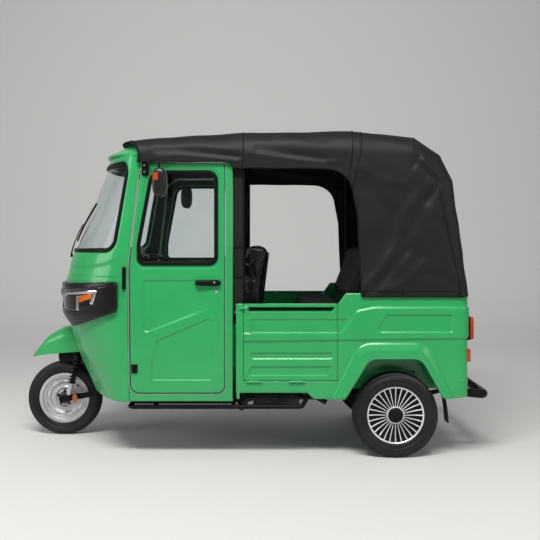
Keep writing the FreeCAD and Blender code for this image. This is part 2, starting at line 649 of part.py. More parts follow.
def gate():
    """The left drop side with its own two hinge barrels and its latch."""
    outer = -TUB_HALF
    front, back = GATE_FRONT_X, GATE_REAR_TOP_X
    leaf = plate("xz", [
        (GATE_FRONT_X, GATE_LOW_Z, 6), (GATE_REAR_LOW_X, GATE_LOW_Z, 6),
        (GATE_REAR_TOP_X, GATE_TOP_Z, 6), (GATE_FRONT_X, GATE_TOP_Z, 6)], outer, outer + TUB_WALL)
    slot = box(GATE_FRONT_X + 14, GATE_REAR_TOP_X - 14, outer - 1, outer + 12, 900, 922)
    leaf = leaf.cut(slot)
    for outline in (
            [(front + 33, 762, 10), (front + 39, 842, 10), (back - 9, 845, 10), (back - 25, 766, 10)],
            [(front + 39, 608, 12), (front + 39, 642, 12), (back + 3, 642, 12), (back + 3, 608, 12)],
            [(front + 17, 506, 8), (front + 45, 556, 8), (back + 3, 556, 8), (back - 25, 506, 8)]):
        leaf = leaf.cut(plate("xz", outline, outer - 1, outer + PRESS_T))
    barrels = []
    reach = 30 - FIT_GAP
    pin_y = outer - GATE_PIN_OUT
    for x in KNUCKLES_X:
        pin = rod(V(x - reach, pin_y, GATE_PIN_Z), V(x + reach, pin_y, GATE_PIN_Z), 6)
        web = box(x - reach, x + reach, pin_y - 6, outer - 1.5, GATE_PIN_Z, GATE_PIN_Z + 22)
        foot = box(x - reach, x + reach, outer - 3, outer + 2, GATE_PIN_Z + 10, GATE_PIN_Z + 22)
        barrels += [pin, web, foot]
    latch = plate("xz", [(GATE_FRONT_X + 2, 868, 4), (GATE_FRONT_X + 34, 868, 4), (GATE_FRONT_X + 34, 888, 4),
                         (GATE_FRONT_X + 2, 888, 4)], outer - 12, outer + 1)
    return fuse([leaf, latch] + barrels)


def driver_seat_base():
    """The engine cover that carries the driver's seat, open below."""
    foot = CAB_BOTTOM_Z + FLOOR_T
    front, rear = ENGINE[0] - 80, PILLAR_REAR_X - 6
    top = SEAT_BOX_Z
    cover = plate("xz", [
        (front, foot, 0), (front + 30, top, 30), (1330, top, 20), (1330, 560, 0), (rear, 560, 0),
        (rear, foot, 0)], -SEAT_BOX_HALF, SEAT_BOX_HALF)
    room = plate("xz", [
        (front + 20, 300, 0), (front + 48, top - 18, 12), (1312, top - 18, 10), (1312, 540, 0),
        (rear - 18, 540, 0), (rear - 18, 300, 0)], 18 - SEAT_BOX_HALF, SEAT_BOX_HALF - 18)
    return cover.cut(room)


def cushion(x0, x1, half, z0, z1, turn):
    """A plain seat cushion with rounded upper edges."""
    return plate("xz", [(x0, z0, 0), (x1, z0, 0), (x1, z1, turn), (x0, z1, turn)], -half, half)


def driver_cushion():
    return cushion(850, 1268, SEAT_BOX_HALF - 3, SEAT_BOX_Z + FIT_GAP, 872, 36)


# The straight rear faces of the two seat backs, low and high.
DRIVER_BACK_REAR = ((1330.0, 874.0), (1396.0, 1286.0))
BENCH_BACK_REAR = ((aft(-170.0), 928.0), (aft(-52.0), 1286.0))


def driver_back():
    (x0, z0), (x1, z1) = DRIVER_BACK_REAR
    return plate("xz", [(x0 - 94, z0, 24), (x0, z0, 24), (x1, z1, 40), (x1 - 110, z1 + 18, 34)],
                 3 - SEAT_BOX_HALF, SEAT_BOX_HALF - 3)


def bench_cushion():
    return cushion(aft(-585), aft(-265), TUB_HALF - 70, BENCH_TOP_Z - CUSHION_T + FIT_GAP, BENCH_TOP_Z, 36)


def bench_back():
    (x0, z0), (x1, z1) = BENCH_BACK_REAR
    return plate("xz", [(x0 - 118, z0, 22), (x0, z0, 22), (x1, z1, 34), (x1 - 102, z1 + 20, 34)],
                 70 - TUB_HALF, TUB_HALF - 70)


def back_bracket(low, high, foot_z, y):
    """A flat iron that rises from a seat box and lies along the rear face of a seat back."""
    (x0, z0), (x1, z1) = low, high
    lean = (x1 - x0) / (z1 - z0)
    start, end = foot_z + 36, z1 - 45
    face = [(x0 + lean * (z - z0) + 0.5, z) for z in (start, end)]
    corners = [(face[0][0] - 22, foot_z), (face[0][0] + 22, foot_z), (face[1][0] + 11, face[1][1]),
               face[1], face[0]]
    return plate("xz", [(x, z, 0) for x, z in corners], y - 15, y + 15)


def seat_brackets():
    """The flat irons that hold both seat backs up from their boxes."""
    driver = back_bracket(DRIVER_BACK_REAR[0], DRIVER_BACK_REAR[1], SEAT_BOX_Z + FIT_GAP, -135)
    bench = back_bracket(BENCH_BACK_REAR[0], BENCH_BACK_REAR[1], BENCH_TOP_Z - CUSHION_T + FIT_GAP, -315)
    return Part.makeCompound([driver, mirrored(driver), bench, mirrored(bench)])


def chassis_frame():
    """Two cranked rails, cross members, the step tubes and the steering head."""
    rail = plate("xz", [
        (420, 285, 0), (1290, 285, 40), (1380, 395, 40), (RAIL_END_X, 395, 0), (RAIL_END_X, 455, 0),
        (1340, 455, 40), (1250, CAB_BOTTOM_Z, 40), (420, CAB_BOTTOM_Z, 0)], -RAIL_OUT, -RAIL_IN)
    pieces = [rail, mirrored(rail)]
    for x, z in ((450, 315), (860, 315), (1380, 425), (aft(-410), 425), (TUB_REAR_X - 12, 425)):
        pieces.append(box(x - 20, x + 20, -300, 300, z - 25, z + 25))
    out = CAB_HALF - 35
    step = tube([V(548, -300, 309), V(548, -out, 309), V(aft(-570), -out, 309), V(aft(-530), -out, 380),
                 V(aft(-530), -300, 425)], 14, 26)
    pieces += [step, mirrored(step)]
    for x in (700.0, 1180.0):
        cross = rod(V(x, -out, 309), V(x, 10 - RAIL_OUT, 309), 12)
        pieces += [cross, mirrored(cross)]
    head = rod(steer_point(690), steer_point(960), COLUMN_R + HEAD_TUBE_WALL)
    bore = rod(steer_point(600), steer_point(1100), COLUMN_R + BEARING_GAP)
    for side in (-1, 1):
        pieces.append(tube([V(STAY_X, side * STAY_HALF, 340), V(STAY_X, side * STAY_HALF, 700),
                            steer_point(880, side * 18)], STAY_R, 60))
    pieces.append(box(445, 485, -80, 80, 325, 345))
    frame = fuse(pieces + [head])
    return frame.cut(bore)


def engine_block():
    block = box(ENGINE[0], ENGINE[1], -170, 170, 300, 660)
    lugs = box(ENGINE[0] + 100, ENGINE[0] + 150, FIT_GAP - RAIL_IN, RAIL_IN - FIT_GAP, 300, 340)
    return fuse([block, lugs])


def rear_axle():
    """The live axle with its differential, drive shaft and two leaf springs."""
    x, z = WHEELBASE, REAR_TYRE_R
    reach = REAR_TRACK_HALF - 75
    eyes = (x - SPRING_HALF, x + SPRING_HALF)
    pieces = [rod(V(x, -reach, z), V(x, reach, z), 34), Part.makeSphere(118, V(x, 0, z))]
    pieces.append(Part.makeCone(70, 34, 150, V(x - 90, 0, z), V(-1, 0, 0.06)))
    for side in (-1, 1):
        pieces.append(rod(V(x, side * (reach - 8), z), V(x, side * (reach), z), 105))
        pieces.append(rod(V(x, side * (reach - 5), z), V(x, side * (REAR_TRACK_HALF + 4), z), AXLE_R))
        leaf = Part.Face(Part.Wire([
            Part.Arc(V(eyes[0], 0, 352), V(x, 0, 296), V(eyes[1], 0, 352)).toShape(),
            Part.LineSegment(V(eyes[1], 0, 352), V(eyes[1], 0, 366)).toShape(),
            Part.Arc(V(eyes[1], 0, 366), V(x, 0, 326), V(eyes[0], 0, 366)).toShape(),
            Part.LineSegment(V(eyes[0], 0, 366), V(eyes[0], 0, 352)).toShape()])).extrude(V(0, 50, 0))
        mid = side * (RAIL_IN + RAIL_OUT) / 2
        leaf.translate(V(0, mid - 25, 0))
        pieces.append(leaf)
        for eye in eyes:
            pieces.append(rod(V(eye, mid - 25, 359), V(eye, mid + 25, 359), 18))
            pieces.append(box(eye - 14, eye + 14, mid - 25, mid + 25, 359, 395))
        pieces.append(box(x - 50, x + 50, mid - 32, mid + 32, 262, 332))
    shaft = rod(V(ENGINE[1] + 4, 0, 322), V(x - 200, 0, 266), 20).fuse(
        rod(V(ENGINE[1] + FIT_GAP, 0, 322), V(ENGINE[1] + 12, 0, 322), 26))
    return fuse(pieces + [shaft])


def exhaust():
    box_start, box_end = 1300.0, 1590.0
    can = rod(V(box_start, -420, 334), V(box_end, -420, 334), 46)
    pipe = tube([V(ENGINE[0] + 180, -130, 300 - FIT_GAP), V(ENGINE[0] + 180, -130, 254), V(1200, -130, 254),
                 V(1225, -385, 254), V(1270, -420, 334), V(box_start + 20, -420, 334)], 16, 20)
    tail = tube([V(box_end - 10, -420, 334), V(1700, -420, 334), V(1760, -420, 300)], 16, 40)
    strap = box(1430, 1450, -420, -322, 330, 400).fuse(box(1430, 1450, -340, -320.3, 330, 455))
    return fuse([can, pipe, tail, strap])


def rear_bumper():
    bar = tube([V(TUB_REAR_X + FIT_GAP, -500, 400), V(BUMPER_X, -500, 380), V(BUMPER_X, 500, 380),
                V(TUB_REAR_X + FIT_GAP, 500, 400)], BUMPER_R, 50)
    stay = box(RAIL_END_X + FIT_GAP, BUMPER_X - 6, -315, -275, 372, 400)
    tub_side = box(TUB_REAR_X - 112, TUB_REAR_X + FIT_GAP, -900, 900, 0, 900)
    return fuse([bar, stay, mirrored(stay)]).cut(tub_side)


def mud_flap():
    return plate("xz", [
        (aft(322), FLAP_TOP_Z, 0), (aft(328), FLAP_TOP_Z, 0), (aft(350), 184, 0), (aft(344), 184, 0)],
        8 - TUB_HALF, 130 - TUB_HALF)


def tail_lamp():
    out = 30 - TUB_HALF
    lamp = plate("yz", [(out, 718, 12), (out + 80, 718, 12), (out + 80, 860, 12), (out, 860, 12)],
                 TUB_REAR_X + FIT_GAP, TUB_REAR_X + 34)
    reflector = plate("yz", [(out, 584, 8), (out + 60, 584, 8), (out + 60, 662, 8), (out, 662, 8)],
                      TUB_REAR_X + FIT_GAP, TUB_REAR_X + 14)
    return Part.makeCompound([lamp, reflector])


def wiper():
    """The wiper's spindle, arm and blade, lying up the middle of the screen."""
    foot = V(nose_front(1236) - 6, -60, 1236)
    elbow = V(nose_front(1420) - 22, -90, 1420)
    blade = rod(V(nose_front(1290) - 14, -84, 1290), V(nose_front(1580) - 14, -120, 1580), 5)
    arm = fuse([rod(foot + V(30, 0, 0), foot - V(18, 0, 0), 11), rod(foot - V(12, 0, 0), elbow, 6), blade,
                rod(elbow, elbow + V(10, 0, 0), 6)])
    return arm.cut(nose_body(-FIT_GAP, 700))


def steering_fork():
    """Column, crown, two legs and the leading links that end at the axle."""
    pieces = [rod(steer_point(CROWN_Z - 30), steer_point(BAR_Z), COLUMN_R)]
    head = steer_point(CROWN_Z)
    crown = box(head.x - 70, head.x + 34, -FORK_HALF - 14, FORK_HALF + 14, CROWN_Z - 34, CROWN_Z + 12)
    pieces.append(crown)
    pivot_x, pivot_z = LINK_PIVOT
    for side in (-1, 1):
        y = side * FORK_HALF
        pieces.append(tube([V(head.x - 10, y, CROWN_Z - 20), V(head.x + 12, y, 470), V(pivot_x, y, pivot_z)],
                           FORK_TUBE_R, 120))
        link = plate("xz", [
            (-22, FRONT_TYRE_R - 22, 20), (-22, FRONT_TYRE_R + 22, 20),
            (pivot_x + 18, pivot_z + 17, 16), (pivot_x + 18, pivot_z - 17, 16)], y - 6, y + 6)
        pieces.append(link)
        top_x, top_z = DAMPER_TOP
        arm = plate("xz", [
            (top_x - 16, top_z + 6, 3), (top_x + 40, top_z + 6, 20), (head.x - 40, CROWN_Z - 30, 6),
            (head.x - 40, CROWN_Z + 8, 6), (top_x - 16, top_z + 22, 6)],
            side * (FORK_HALF + 8) - 6, side * (FORK_HALF + 8) + 6)
        out = side * DAMPER_HALF
        cap = box(top_x - 20, top_x + 20, out - 24, out + 24, top_z + 6, top_z + 14)
        pieces += [arm, cap]
        foot_x, foot_z = DAMPER_FOOT
        pieces.append(rod(V(foot_x, y, foot_z - 30), V(foot_x, side * (DAMPER_HALF + 16), foot_z - 30), 9))
    pieces.append(rod(V(0, -FORK_HALF - 14, FRONT_TYRE_R), V(0, FORK_HALF + 14, FRONT_TYRE_R), AXLE_R))
    bracket = box(130, 150, -40, 40, CROWN_Z - 20, 760).common(guard_body(7 + FIT_GAP))
    pieces.append(bracket)
    return fuse(pieces)


def front_dampers():
    """Two spring and damper units, each a stack of coils over a body that ends in an eye."""
    y = -DAMPER_HALF
    top = V(DAMPER_TOP[0], y, DAMPER_TOP[1] + 3)
    eye = V(DAMPER_FOOT[0], y, DAMPER_FOOT[1] - 30)
    run = top - eye
    step = unit(run)
    body = rod(eye + step * 14, top, 10)
    lower = rod(eye + step * 14, eye + run * 0.26, 17)
    sleeve = rod(eye + run * 0.26, eye + run * 0.97, DAMPER_R - 8)
    coils = []
    for k in range(COILS):
        at = eye + run * (0.27 + 0.68 * k / (COILS - 1))
        coils.append(rod(at, at + step * 8, DAMPER_R))
    ring = rod(eye - V(0, 12, 0), eye + V(0, 12, 0), 18)
    unit_body = fuse([body, lower, sleeve, ring] + coils)
    unit_body = unit_body.cut(rod(eye - V(0, 40, 0), eye + V(0, 40, 0), 9 + FIT_GAP))
    return both_sides(unit_body)


def handlebar():
    """The bar with its swept grips and the instrument head at the top of the column."""
    centre = steer_point(BAR_Z + 8)
    run = ((118, -BAR_HALF, -6), (104, 130 - BAR_HALF, 4), (0, -70, 12),
           (0, 70, 12), (104, BAR_HALF - 130, 4), (118, BAR_HALF, -6))
    bar = tube([centre + V(*offset) for offset in run], BAR_R, 40)
    low, top = BAR_Z + FIT_GAP, BAR_Z + 76
    head = plate("yz", [(-105, low, 20), (105, low, 20), (85, top, 30), (-85, top, 30)],
                 centre.x - 46, centre.x + 44)
    grips = []
    for side in (-1, 1):
        a = centre + V(118, side * BAR_HALF, -6)
        b = centre + V(104, side * (BAR_HALF - 130), 4)
        grips.append(rod(a, a + (b - a) * 0.9, 18))
    bar = fuse([bar, head] + grips)
    stem_gap = rod(steer_point(BAR_Z - 200), steer_point(BAR_Z), COLUMN_R + FIT_GAP)
    return bar.cut(stem_gap)


# The front mudguard: station, half width, top, shoulder drop and bottom edge.
GUARD = (
    (-223.0, 6.0, 537.0, 3.0, 527.0),
    (-118.0, 62.0, 672.0, 60.0, 551.0),
    (0.0, 110.0, 738.0, 84.0, 567.0),
    (150.0, 138.0, 746.0, 88.0, 580.0),
)


def guard_body(inset):
    """The mudguard's outer or inner form: an arched section drawn back along the wheel."""
    wires = []
    for x, half, top, drop, low in GUARD:
        half = max(half - inset, 1.0)
        top = top - inset
        low = low - (inset + 1 if inset else 0)
        side = top - drop
        p = [V(x, -half, low), V(x, -half, side), V(x, half, side), V(x, half, low)]
        wires.append(Part.Wire([
            Part.LineSegment(p[0], p[1]).toShape(), Part.Arc(p[1], V(x, 0, top), p[2]).toShape(),
            Part.LineSegment(p[2], p[3]).toShape(), Part.LineSegment(p[3], p[0]).toShape()]))
    return Part.makeLoft(wires, True, True)


def front_guard():
    guard = guard_body(0).cut(guard_body(7))
    return guard


def tyre(radius, width, x, y):
    """A tyre with rounded shoulders, seated between the rim's flanges."""
    half = width / 2
    seat = RIM_WIDTH / 2 - RIM_WALL
    return turned_ring([
        (RIM_SEAT_R, -seat, 0), (RIM_FLANGE_R + 3, -seat, 0), (RIM_FLANGE_R + 22, -half, 16),
        (radius - 24, -half, 14), (radius, -half + 22, 22), (radius, half - 22, 22),
        (radius - 24, half, 14), (RIM_FLANGE_R + 22, half, 16), (RIM_FLANGE_R + 3, seat, 0),
        (RIM_SEAT_R, seat, 0)], x, y, radius)


def wheel_disc(radius, x, y, dish, hub_r, hub_out, hub_in, out):
    """A pressed rim and disc with its hub; out is -1 where the outside faces -Y."""
    seat, wall = RIM_WIDTH / 2, RIM_WALL
    barrel = turned_ring([
        (RIM_FLANGE_R, -seat, 0), (RIM_SEAT_R, -seat + wall, 0), (RIM_SEAT_R, seat - wall, 0),
        (RIM_FLANGE_R, seat, 0), (RIM_FLANGE_R - 4, seat + 2, 0), (RIM_SEAT_R - wall, seat - wall, 0),
        (RIM_SEAT_R - wall, -seat + wall, 0), (RIM_FLANGE_R - 4, -seat - 2, 0)], x, y, radius)
    a, b = out * dish, out * (dish - 6)
    bore = AXLE_R + HUB_BORE_GAP
    disc = turned_ring([
        (RIM_SEAT_R - wall, b, 0), (RIM_SEAT_R - wall, a, 0), (112, a + out * 16, 30), (64, a + out * 4, 20),
        (bore, a + out * 4, 0), (bore, b, 0), (64, b, 20), (112, b + out * 14, 30)], x, y, radius)
    hub = turned_ring([(bore, out * hub_out, 0), (hub_r, out * hub_out, 0), (hub_r, out * -hub_in, 0),
                       (bore, out * -hub_in, 0)], x, y, radius)
    return fuse([barrel, disc, hub])


def front_rim():
    return wheel_disc(FRONT_TYRE_R, 0, 0, 8, 44, 62, 62, -1)


def rear_rim(side):
    rim = wheel_disc(REAR_TYRE_R, WHEELBASE, side * REAR_TRACK_HALF, 12, 60, 30, 60, side)
    return rim


NODES = {
    "front_cowl": front_cowl,
    "windscreen": windscreen,
    "windscreen_seal": windscreen_seal,
    "visor": visor,
    "lamp_panel": lamp_panel,
    "lamp_units": lamp_units,
    "cab_floor": cab_floor,
    "dashboard": dashboard,
    "door_frames": lambda: both_sides(door_frame()),
    "door_hinges": lambda: both_sides(hinge_straps()),
    "door_panel_left": door_panel,
    "door_panel_right": lambda: mirrored(door_panel()),
    "door_glass_left": door_glass,
    "door_glass_right": lambda: mirrored(door_glass()),
    "mirror_left": mirror_left,
    "mirror_right": lambda: mirrored(mirror_left()),
    "canopy": canopy,
    "roof_frame": roof_frame,
    "rear_tub": rear_tub,
    "gate_left": gate,
    "gate_right": lambda: mirrored(gate()),
    "driver_seat_base": driver_seat_base,
    "driver_cushion": driver_cushion,
    "driver_back": driver_back,
    "bench_cushion": bench_cushion,
    "bench_back": bench_back,
    "seat_brackets": seat_brackets,
    "chassis_frame": chassis_frame,
    "engine_block": engine_block,
    "rear_axle": rear_axle,
    "exhaust": exhaust,
    "rear_bumper": rear_bumper,
    "mud_flaps": lambda: both_sides(mud_flap()),
    "tail_lamps": lambda: both_sides(tail_lamp()),
    "wiper": wiper,
    "steering_fork": steering_fork,
    "front_dampers": front_dampers,
    "handlebar": handlebar,
    "front_guard": front_guard,
    "front_tyre": lambda: tyre(FRONT_TYRE_R, FRONT_TYRE_W, 0, 0),
    "front_rim": front_rim,
    "rear_tyre_left": lambda: tyre(REAR_TYRE_R, REAR_TYRE_W, WHEELBASE, -REAR_TRACK_HALF),
    "rear_rim_left": lambda: rear_rim(-1),
    "rear_tyre_right": lambda: tyre(REAR_TYRE_R, REAR_TYRE_W, WHEELBASE, REAR_TRACK_HALF),
    "rear_rim_right": lambda: rear_rim(1),
}


def main():
    os.makedirs("parts", exist_ok=True)
    for name, make in NODES.items():
        shape = make()
        shape.translate(V(-CENTRE_X, 0, 0))
        shape.exportStep("parts/" + name + ".step")
        extent = shape.BoundBox
        print(name, len(shape.Solids), "valid" if shape.isValid() else "INVALID",
              round(shape.Volume / 1e6, 3), "litres", [round(value) for value in (
                  extent.XMin, extent.XMax, extent.YMin, extent.YMax, extent.ZMin, extent.ZMax)])


main()
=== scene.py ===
"""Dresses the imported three-wheeled taxi with smooth painted panels, cloth, rubber and glass.

Lengths are millimetres in the maker's own axes: station x rearwards from the front axle, y to the
vehicle's right and z up from the ground. frame_points() turns them into the row frame in metres.
"""

import json
import logging
import math
from dataclasses import dataclass, field
from enum import Enum
from typing import Callable, Sequence

import bpy
import numpy as np
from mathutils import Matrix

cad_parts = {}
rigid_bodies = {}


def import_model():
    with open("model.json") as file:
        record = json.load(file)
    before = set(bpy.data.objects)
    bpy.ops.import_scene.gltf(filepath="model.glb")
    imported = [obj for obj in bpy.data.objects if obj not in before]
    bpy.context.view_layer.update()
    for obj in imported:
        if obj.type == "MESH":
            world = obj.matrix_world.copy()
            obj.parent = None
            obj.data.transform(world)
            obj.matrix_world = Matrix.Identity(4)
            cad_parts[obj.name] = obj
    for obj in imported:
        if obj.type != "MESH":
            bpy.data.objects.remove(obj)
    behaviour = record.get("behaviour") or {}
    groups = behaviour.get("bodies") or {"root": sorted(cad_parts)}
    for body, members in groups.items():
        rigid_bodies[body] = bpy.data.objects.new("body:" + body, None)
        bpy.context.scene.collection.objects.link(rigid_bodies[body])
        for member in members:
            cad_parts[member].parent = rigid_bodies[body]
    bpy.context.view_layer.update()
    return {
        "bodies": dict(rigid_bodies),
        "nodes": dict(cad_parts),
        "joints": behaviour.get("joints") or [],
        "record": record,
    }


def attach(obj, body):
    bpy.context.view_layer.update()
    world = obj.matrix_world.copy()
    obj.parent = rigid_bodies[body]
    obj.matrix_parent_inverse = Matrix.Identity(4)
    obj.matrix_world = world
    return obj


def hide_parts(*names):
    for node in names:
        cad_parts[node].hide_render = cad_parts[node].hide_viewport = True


LOG = logging.getLogger("taxi")
Place = Callable[[np.ndarray, np.ndarray, np.ndarray], np.ndarray]

ZERO_STATION = 1264.5
WHEELBASE = 2170.0
CAB_HALF = 620.0
TUB_HALF = 630.0
CANVAS_HALF = 643.0

BLOCK = 60000
"""Most pairs of a place and a run that are measured at once, which bounds the memory used."""
STRAIGHT = 1.55
"""Half angle in radians from which an outline's corner counts as straight."""
STRAIGHT_RUN = 1.56
"""The same for a line's corner."""
ARC_STEP = 0.09
"""Radians between two points of a rounded corner."""
SNAP_SHARE = 0.52
"""Share of a grid step within which a panel's grid point is moved onto the edge."""


class Side(Enum):
    """The two sides of the vehicle, as the sign of y."""

    LEFT = -1
    RIGHT = 1

    @property
    def label(self) -> str:
        """The side as the names of pieces and bodies spell it."""
        return self.name.lower()


# Geometry helpers


def frame_points(points: np.ndarray) -> np.ndarray:
    """Turns millimetre stations into row-frame metres: ((x - zero) / 1000, y / 1000, z / 1000).

    Args:
        points: An array whose last axis is x, y, z.

    Returns:
        The same places as an (n, 3) array in metres.
    """
    flat = np.asarray(points, float).reshape(-1, 3)
    return (flat - (ZERO_STATION, 0.0, 0.0)) * 0.001


def unit(vectors: np.ndarray) -> np.ndarray:
    """Vectors divided by their lengths."""
    return vectors / np.maximum(np.linalg.norm(vectors, axis=-1, keepdims=True), 1e-9)


def smooth_step(values: np.ndarray) -> np.ndarray:
    """The curve 3t^2 - 2t^3 of values cut to 0..1."""
    t = np.clip(values, 0.0, 1.0)
    return t * t * (3.0 - 2.0 * t)


def rectangle(u0: float, v0: float, u1: float, v1: float,
              radius: float = 0.0) -> tuple[tuple[float, float, float], ...]:
    """The corners of an upright rectangle, each with the same radius, as Outline.rounded() takes them."""
    return (u0, v0, radius), (u1, v0, radius), (u1, v1, radius), (u0, v1, radius)


@dataclass(frozen=True)
class Outline:
    """A closed line in two coordinates, kept as points.

    Attributes:
        points: An (n, 2) array; the last point joins the first.
    """

    points: np.ndarray

    @staticmethod
    def rounded(corners: Sequence[tuple[float, float, float]], fine: float = 0.0) -> "Outline":
        """Straight runs joined by tangent arcs of each corner's radius.

        Args:
            corners: Rows of (u, v, radius).
            fine: Longest run between points, or 0 to leave the runs whole.

        Returns:
            The outline.
        """
        spots = np.array([c[:2] for c in corners], float)
        rows = []
        for i, (_, _, radius) in enumerate(corners):
            here = spots[i]
            back = unit(spots[i - 1] - here)
            ahead = unit(spots[(i + 1) % len(spots)] - here)
            half = 0.5 * math.acos(float(np.clip(back @ ahead, -1.0, 1.0)))
            if radius <= 0 or half > STRAIGHT:
                rows.append(here[None])
                continue
            centre = here + unit(back + ahead) * radius / math.sin(half)
            start = here + back * radius / math.tan(half)
            end = here + ahead * radius / math.tan(half)
            a0 = math.atan2(*(start - centre)[::-1])
            turn = (math.atan2(*(end - centre)[::-1]) - a0 + math.pi) % (2 * math.pi) - math.pi
            angles = a0 + turn * np.linspace(0, 1, max(4, int(abs(turn) / ARC_STEP) + 2))
            rows.append(centre + radius * np.stack([np.cos(angles), np.sin(angles)], 1))
        line = np.concatenate(rows)
        return Outline(divided(line, fine)) if fine else Outline(line)

    def changed(self, change: Callable[[np.ndarray], np.ndarray]) -> "Outline":
        """The outline with its points put through a function."""
        return Outline(change(self.points))

    def nearest(self, places: np.ndarray) -> tuple[np.ndarray, np.ndarray]:
        """Signed distance, negative inside, and the closest point of the line.

        Args:
            places: An (n, 2) array.

        Returns:
            Distances (n,) and closest points (n, 2).
        """
        distance, closest = line_distance(places, self.points, True)
        a, b = self.points, np.roll(self.points, -1, 0)
        inside = np.zeros(len(places), bool)
        slope = (b[:, 0] - a[:, 0]) / np.where(b[:, 1] == a[:, 1], 1.0, b[:, 1] - a[:, 1])
        block = max(1, BLOCK // len(a))
        for start in range(0, len(places), block):
            u, v = places[start:start + block, :1], places[start:start + block, 1:]
            spans = (a[:, 1] > v) != (b[:, 1] > v)
            cross = a[:, 0] + (v - a[:, 1]) * slope
            inside[start:start + block] = (spans & (u < cross)).sum(1) % 2 == 1
        return np.where(inside, -distance, distance), closest


def divided(line: np.ndarray, fine: float) -> np.ndarray:
    """A closed line with points added so that no run is longer than fine."""
    ahead = np.roll(line, -1, 0)
    counts = np.maximum(1, np.ceil(np.linalg.norm(ahead - line, axis=1) / fine)).astype(int)
    index = np.repeat(np.arange(len(line)), counts)
    part = np.concatenate([np.arange(n) / n for n in counts])
    return line[index] + (ahead - line)[index] * part[:, None]


def line_distance(places: np.ndarray, line: np.ndarray, closed: bool) -> tuple[np.ndarray, np.ndarray]:
    """Distance from places to a line of points, and the closest points on it.

    Each run a-b is met at a + t (b - a) with t = (p - a).(b - a) / |b - a|^2 cut to 0..1.
    """
    a = line if closed else line[:-1]
    run = (np.roll(line, -1, 0) - line) if closed else line[1:] - line[:-1]
    square = np.maximum((run ** 2).sum(1), 1e-9)
    distance = np.empty(len(places))
    closest = np.empty((len(places), 2))
    block = max(1, BLOCK // len(a))
    for start in range(0, len(places), block):
        spots = places[start:start + block]
        du, dv = spots[:, :1] - a[:, 0], spots[:, 1:] - a[:, 1]
        t = np.clip((du * run[:, 0] + dv * run[:, 1]) / square, 0, 1)
        du -= t * run[:, 0]
        dv -= t * run[:, 1]
        gap = du * du + dv * dv
        best = gap.argmin(1)
        rows = np.arange(len(best))
        distance[start:start + block] = np.sqrt(gap[rows, best])
        closest[start:start + block] = spots - np.stack([du[rows, best], dv[rows, best]], 1)
    return distance, closest


def near_line(places: np.ndarray, line: np.ndarray, reach: float) -> np.ndarray:
    """Which places lie within reach of a line's upright box."""
    return ((places > line.min(0) - reach) & (places < line.max(0) + reach)).all(1)


@dataclass(frozen=True)
class Pressing:
    """An area pressed in (negative depth) or out, reached over soft millimetres at its edge.

    Attributes:
        outline: The middle of the slope round the area.
        depth: Rise of the area, negative for a recess.
        soft: Width of the slope.
        crisp: The slope is straight, with creases at its foot and head.
        fade: Range of u over which the area returns to 0.
    """

    outline: Outline
    depth: float
    soft: float = 8.0
    crisp: bool = False
    fade: tuple[float, float] | None = None

    def height(self, places: np.ndarray) -> np.ndarray:
        """depth * smooth_step(0.5 - distance / soft), which is 0 well outside the outline."""
        rise = np.zeros(len(places))
        near = near_line(places, self.outline.points, self.soft)
        share = 0.5 - self.outline.nearest(places[near])[0] / self.soft
        rise[near] = self.depth * (np.clip(share, 0, 1) if self.crisp else smooth_step(share))
        if self.fade:
            first, last = self.fade
            rise *= 1 - smooth_step((places[:, 0] - first) / (last - first))
        return rise


@dataclass(frozen=True)
class Bead:
    """A ridge (positive height) or groove along an open line."""

    line: tuple[tuple[float, float], ...]
    height_mm: float
    width: float

    def height(self, places: np.ndarray) -> np.ndarray:
        """height * exp(-(distance / width)^2), which is 0 from three widths on."""
        rise, line = np.zeros(len(places)), np.array(self.line, float)
        near = near_line(places, line, 3 * self.width)
        distance, _ = line_distance(places[near], line, False)
        rise[near] = self.height_mm * np.exp(-((distance / self.width) ** 2))
        return rise


@dataclass
class MeshData:
    """Points in millimetres with four-sided and three-sided faces."""

    points: np.ndarray
    quads: np.ndarray = field(default_factory=lambda: np.zeros((0, 4), int))
    tris: np.ndarray = field(default_factory=lambda: np.zeros((0, 3), int))

    def mirrored(self) -> "MeshData":
        """The same shape on the other side, with its faces turned to stay outward."""
        return MeshData(self.points * (1, -1, 1), self.quads[:, ::-1], self.tris[:, ::-1])

    def on(self, side: Side) -> "MeshData":
        """The shape, which is made for the left, put on the given side."""
        return self if side is Side.LEFT else self.mirrored()


def joined(shapes: Sequence[MeshData]) -> MeshData:
    """Several shapes as one mesh."""
    starts = np.cumsum([0] + [len(s.points) for s in shapes])
    return MeshData(
        np.concatenate([s.points.reshape(-1, 3) for s in shapes]),
        np.concatenate([s.quads + n for s, n in zip(shapes, starts)]),
        np.concatenate([s.tris + n for s, n in zip(shapes, starts)]),
    )


def lattice(points: np.ndarray, wrap_rows: bool = False, wrap_columns: bool = False) -> MeshData:
    """A sheet of quads over an (n, m, 3) grid, which may close on itself.

    Args:
        points: The grid; a face's corners run row, next row, next row, row.
        wrap_rows: The last row joins the first.
        wrap_columns: The last column joins the first.

    Returns:
        The mesh.
    """
    n, m = points.shape[:2]
    index = np.arange(n * m).reshape(n, m)
    if wrap_rows:
        index = np.concatenate([index, index[:1]])
    if wrap_columns:
        index = np.concatenate([index, index[:, :1]], 1)
    quads = np.stack([index[:-1, :-1], index[1:, :-1], index[1:, 1:], index[:-1, 1:]], -1)
    return MeshData(points.reshape(-1, 3), quads.reshape(-1, 4))


def outward(shape: MeshData) -> MeshData:
    """A closed shape with its faces turned outward, told by the sign of its volume."""
    tris = np.concatenate([shape.tris, shape.quads[:, :3], shape.quads[:, (0, 2, 3)]])
    a, b, c = (shape.points[tris[:, k]] - shape.points.mean(0) for k in range(3))
    if (np.cross(a, b) * c).sum() > 0:
        return shape
    return MeshData(shape.points, shape.quads[:, ::-1], shape.tris[:, ::-1])


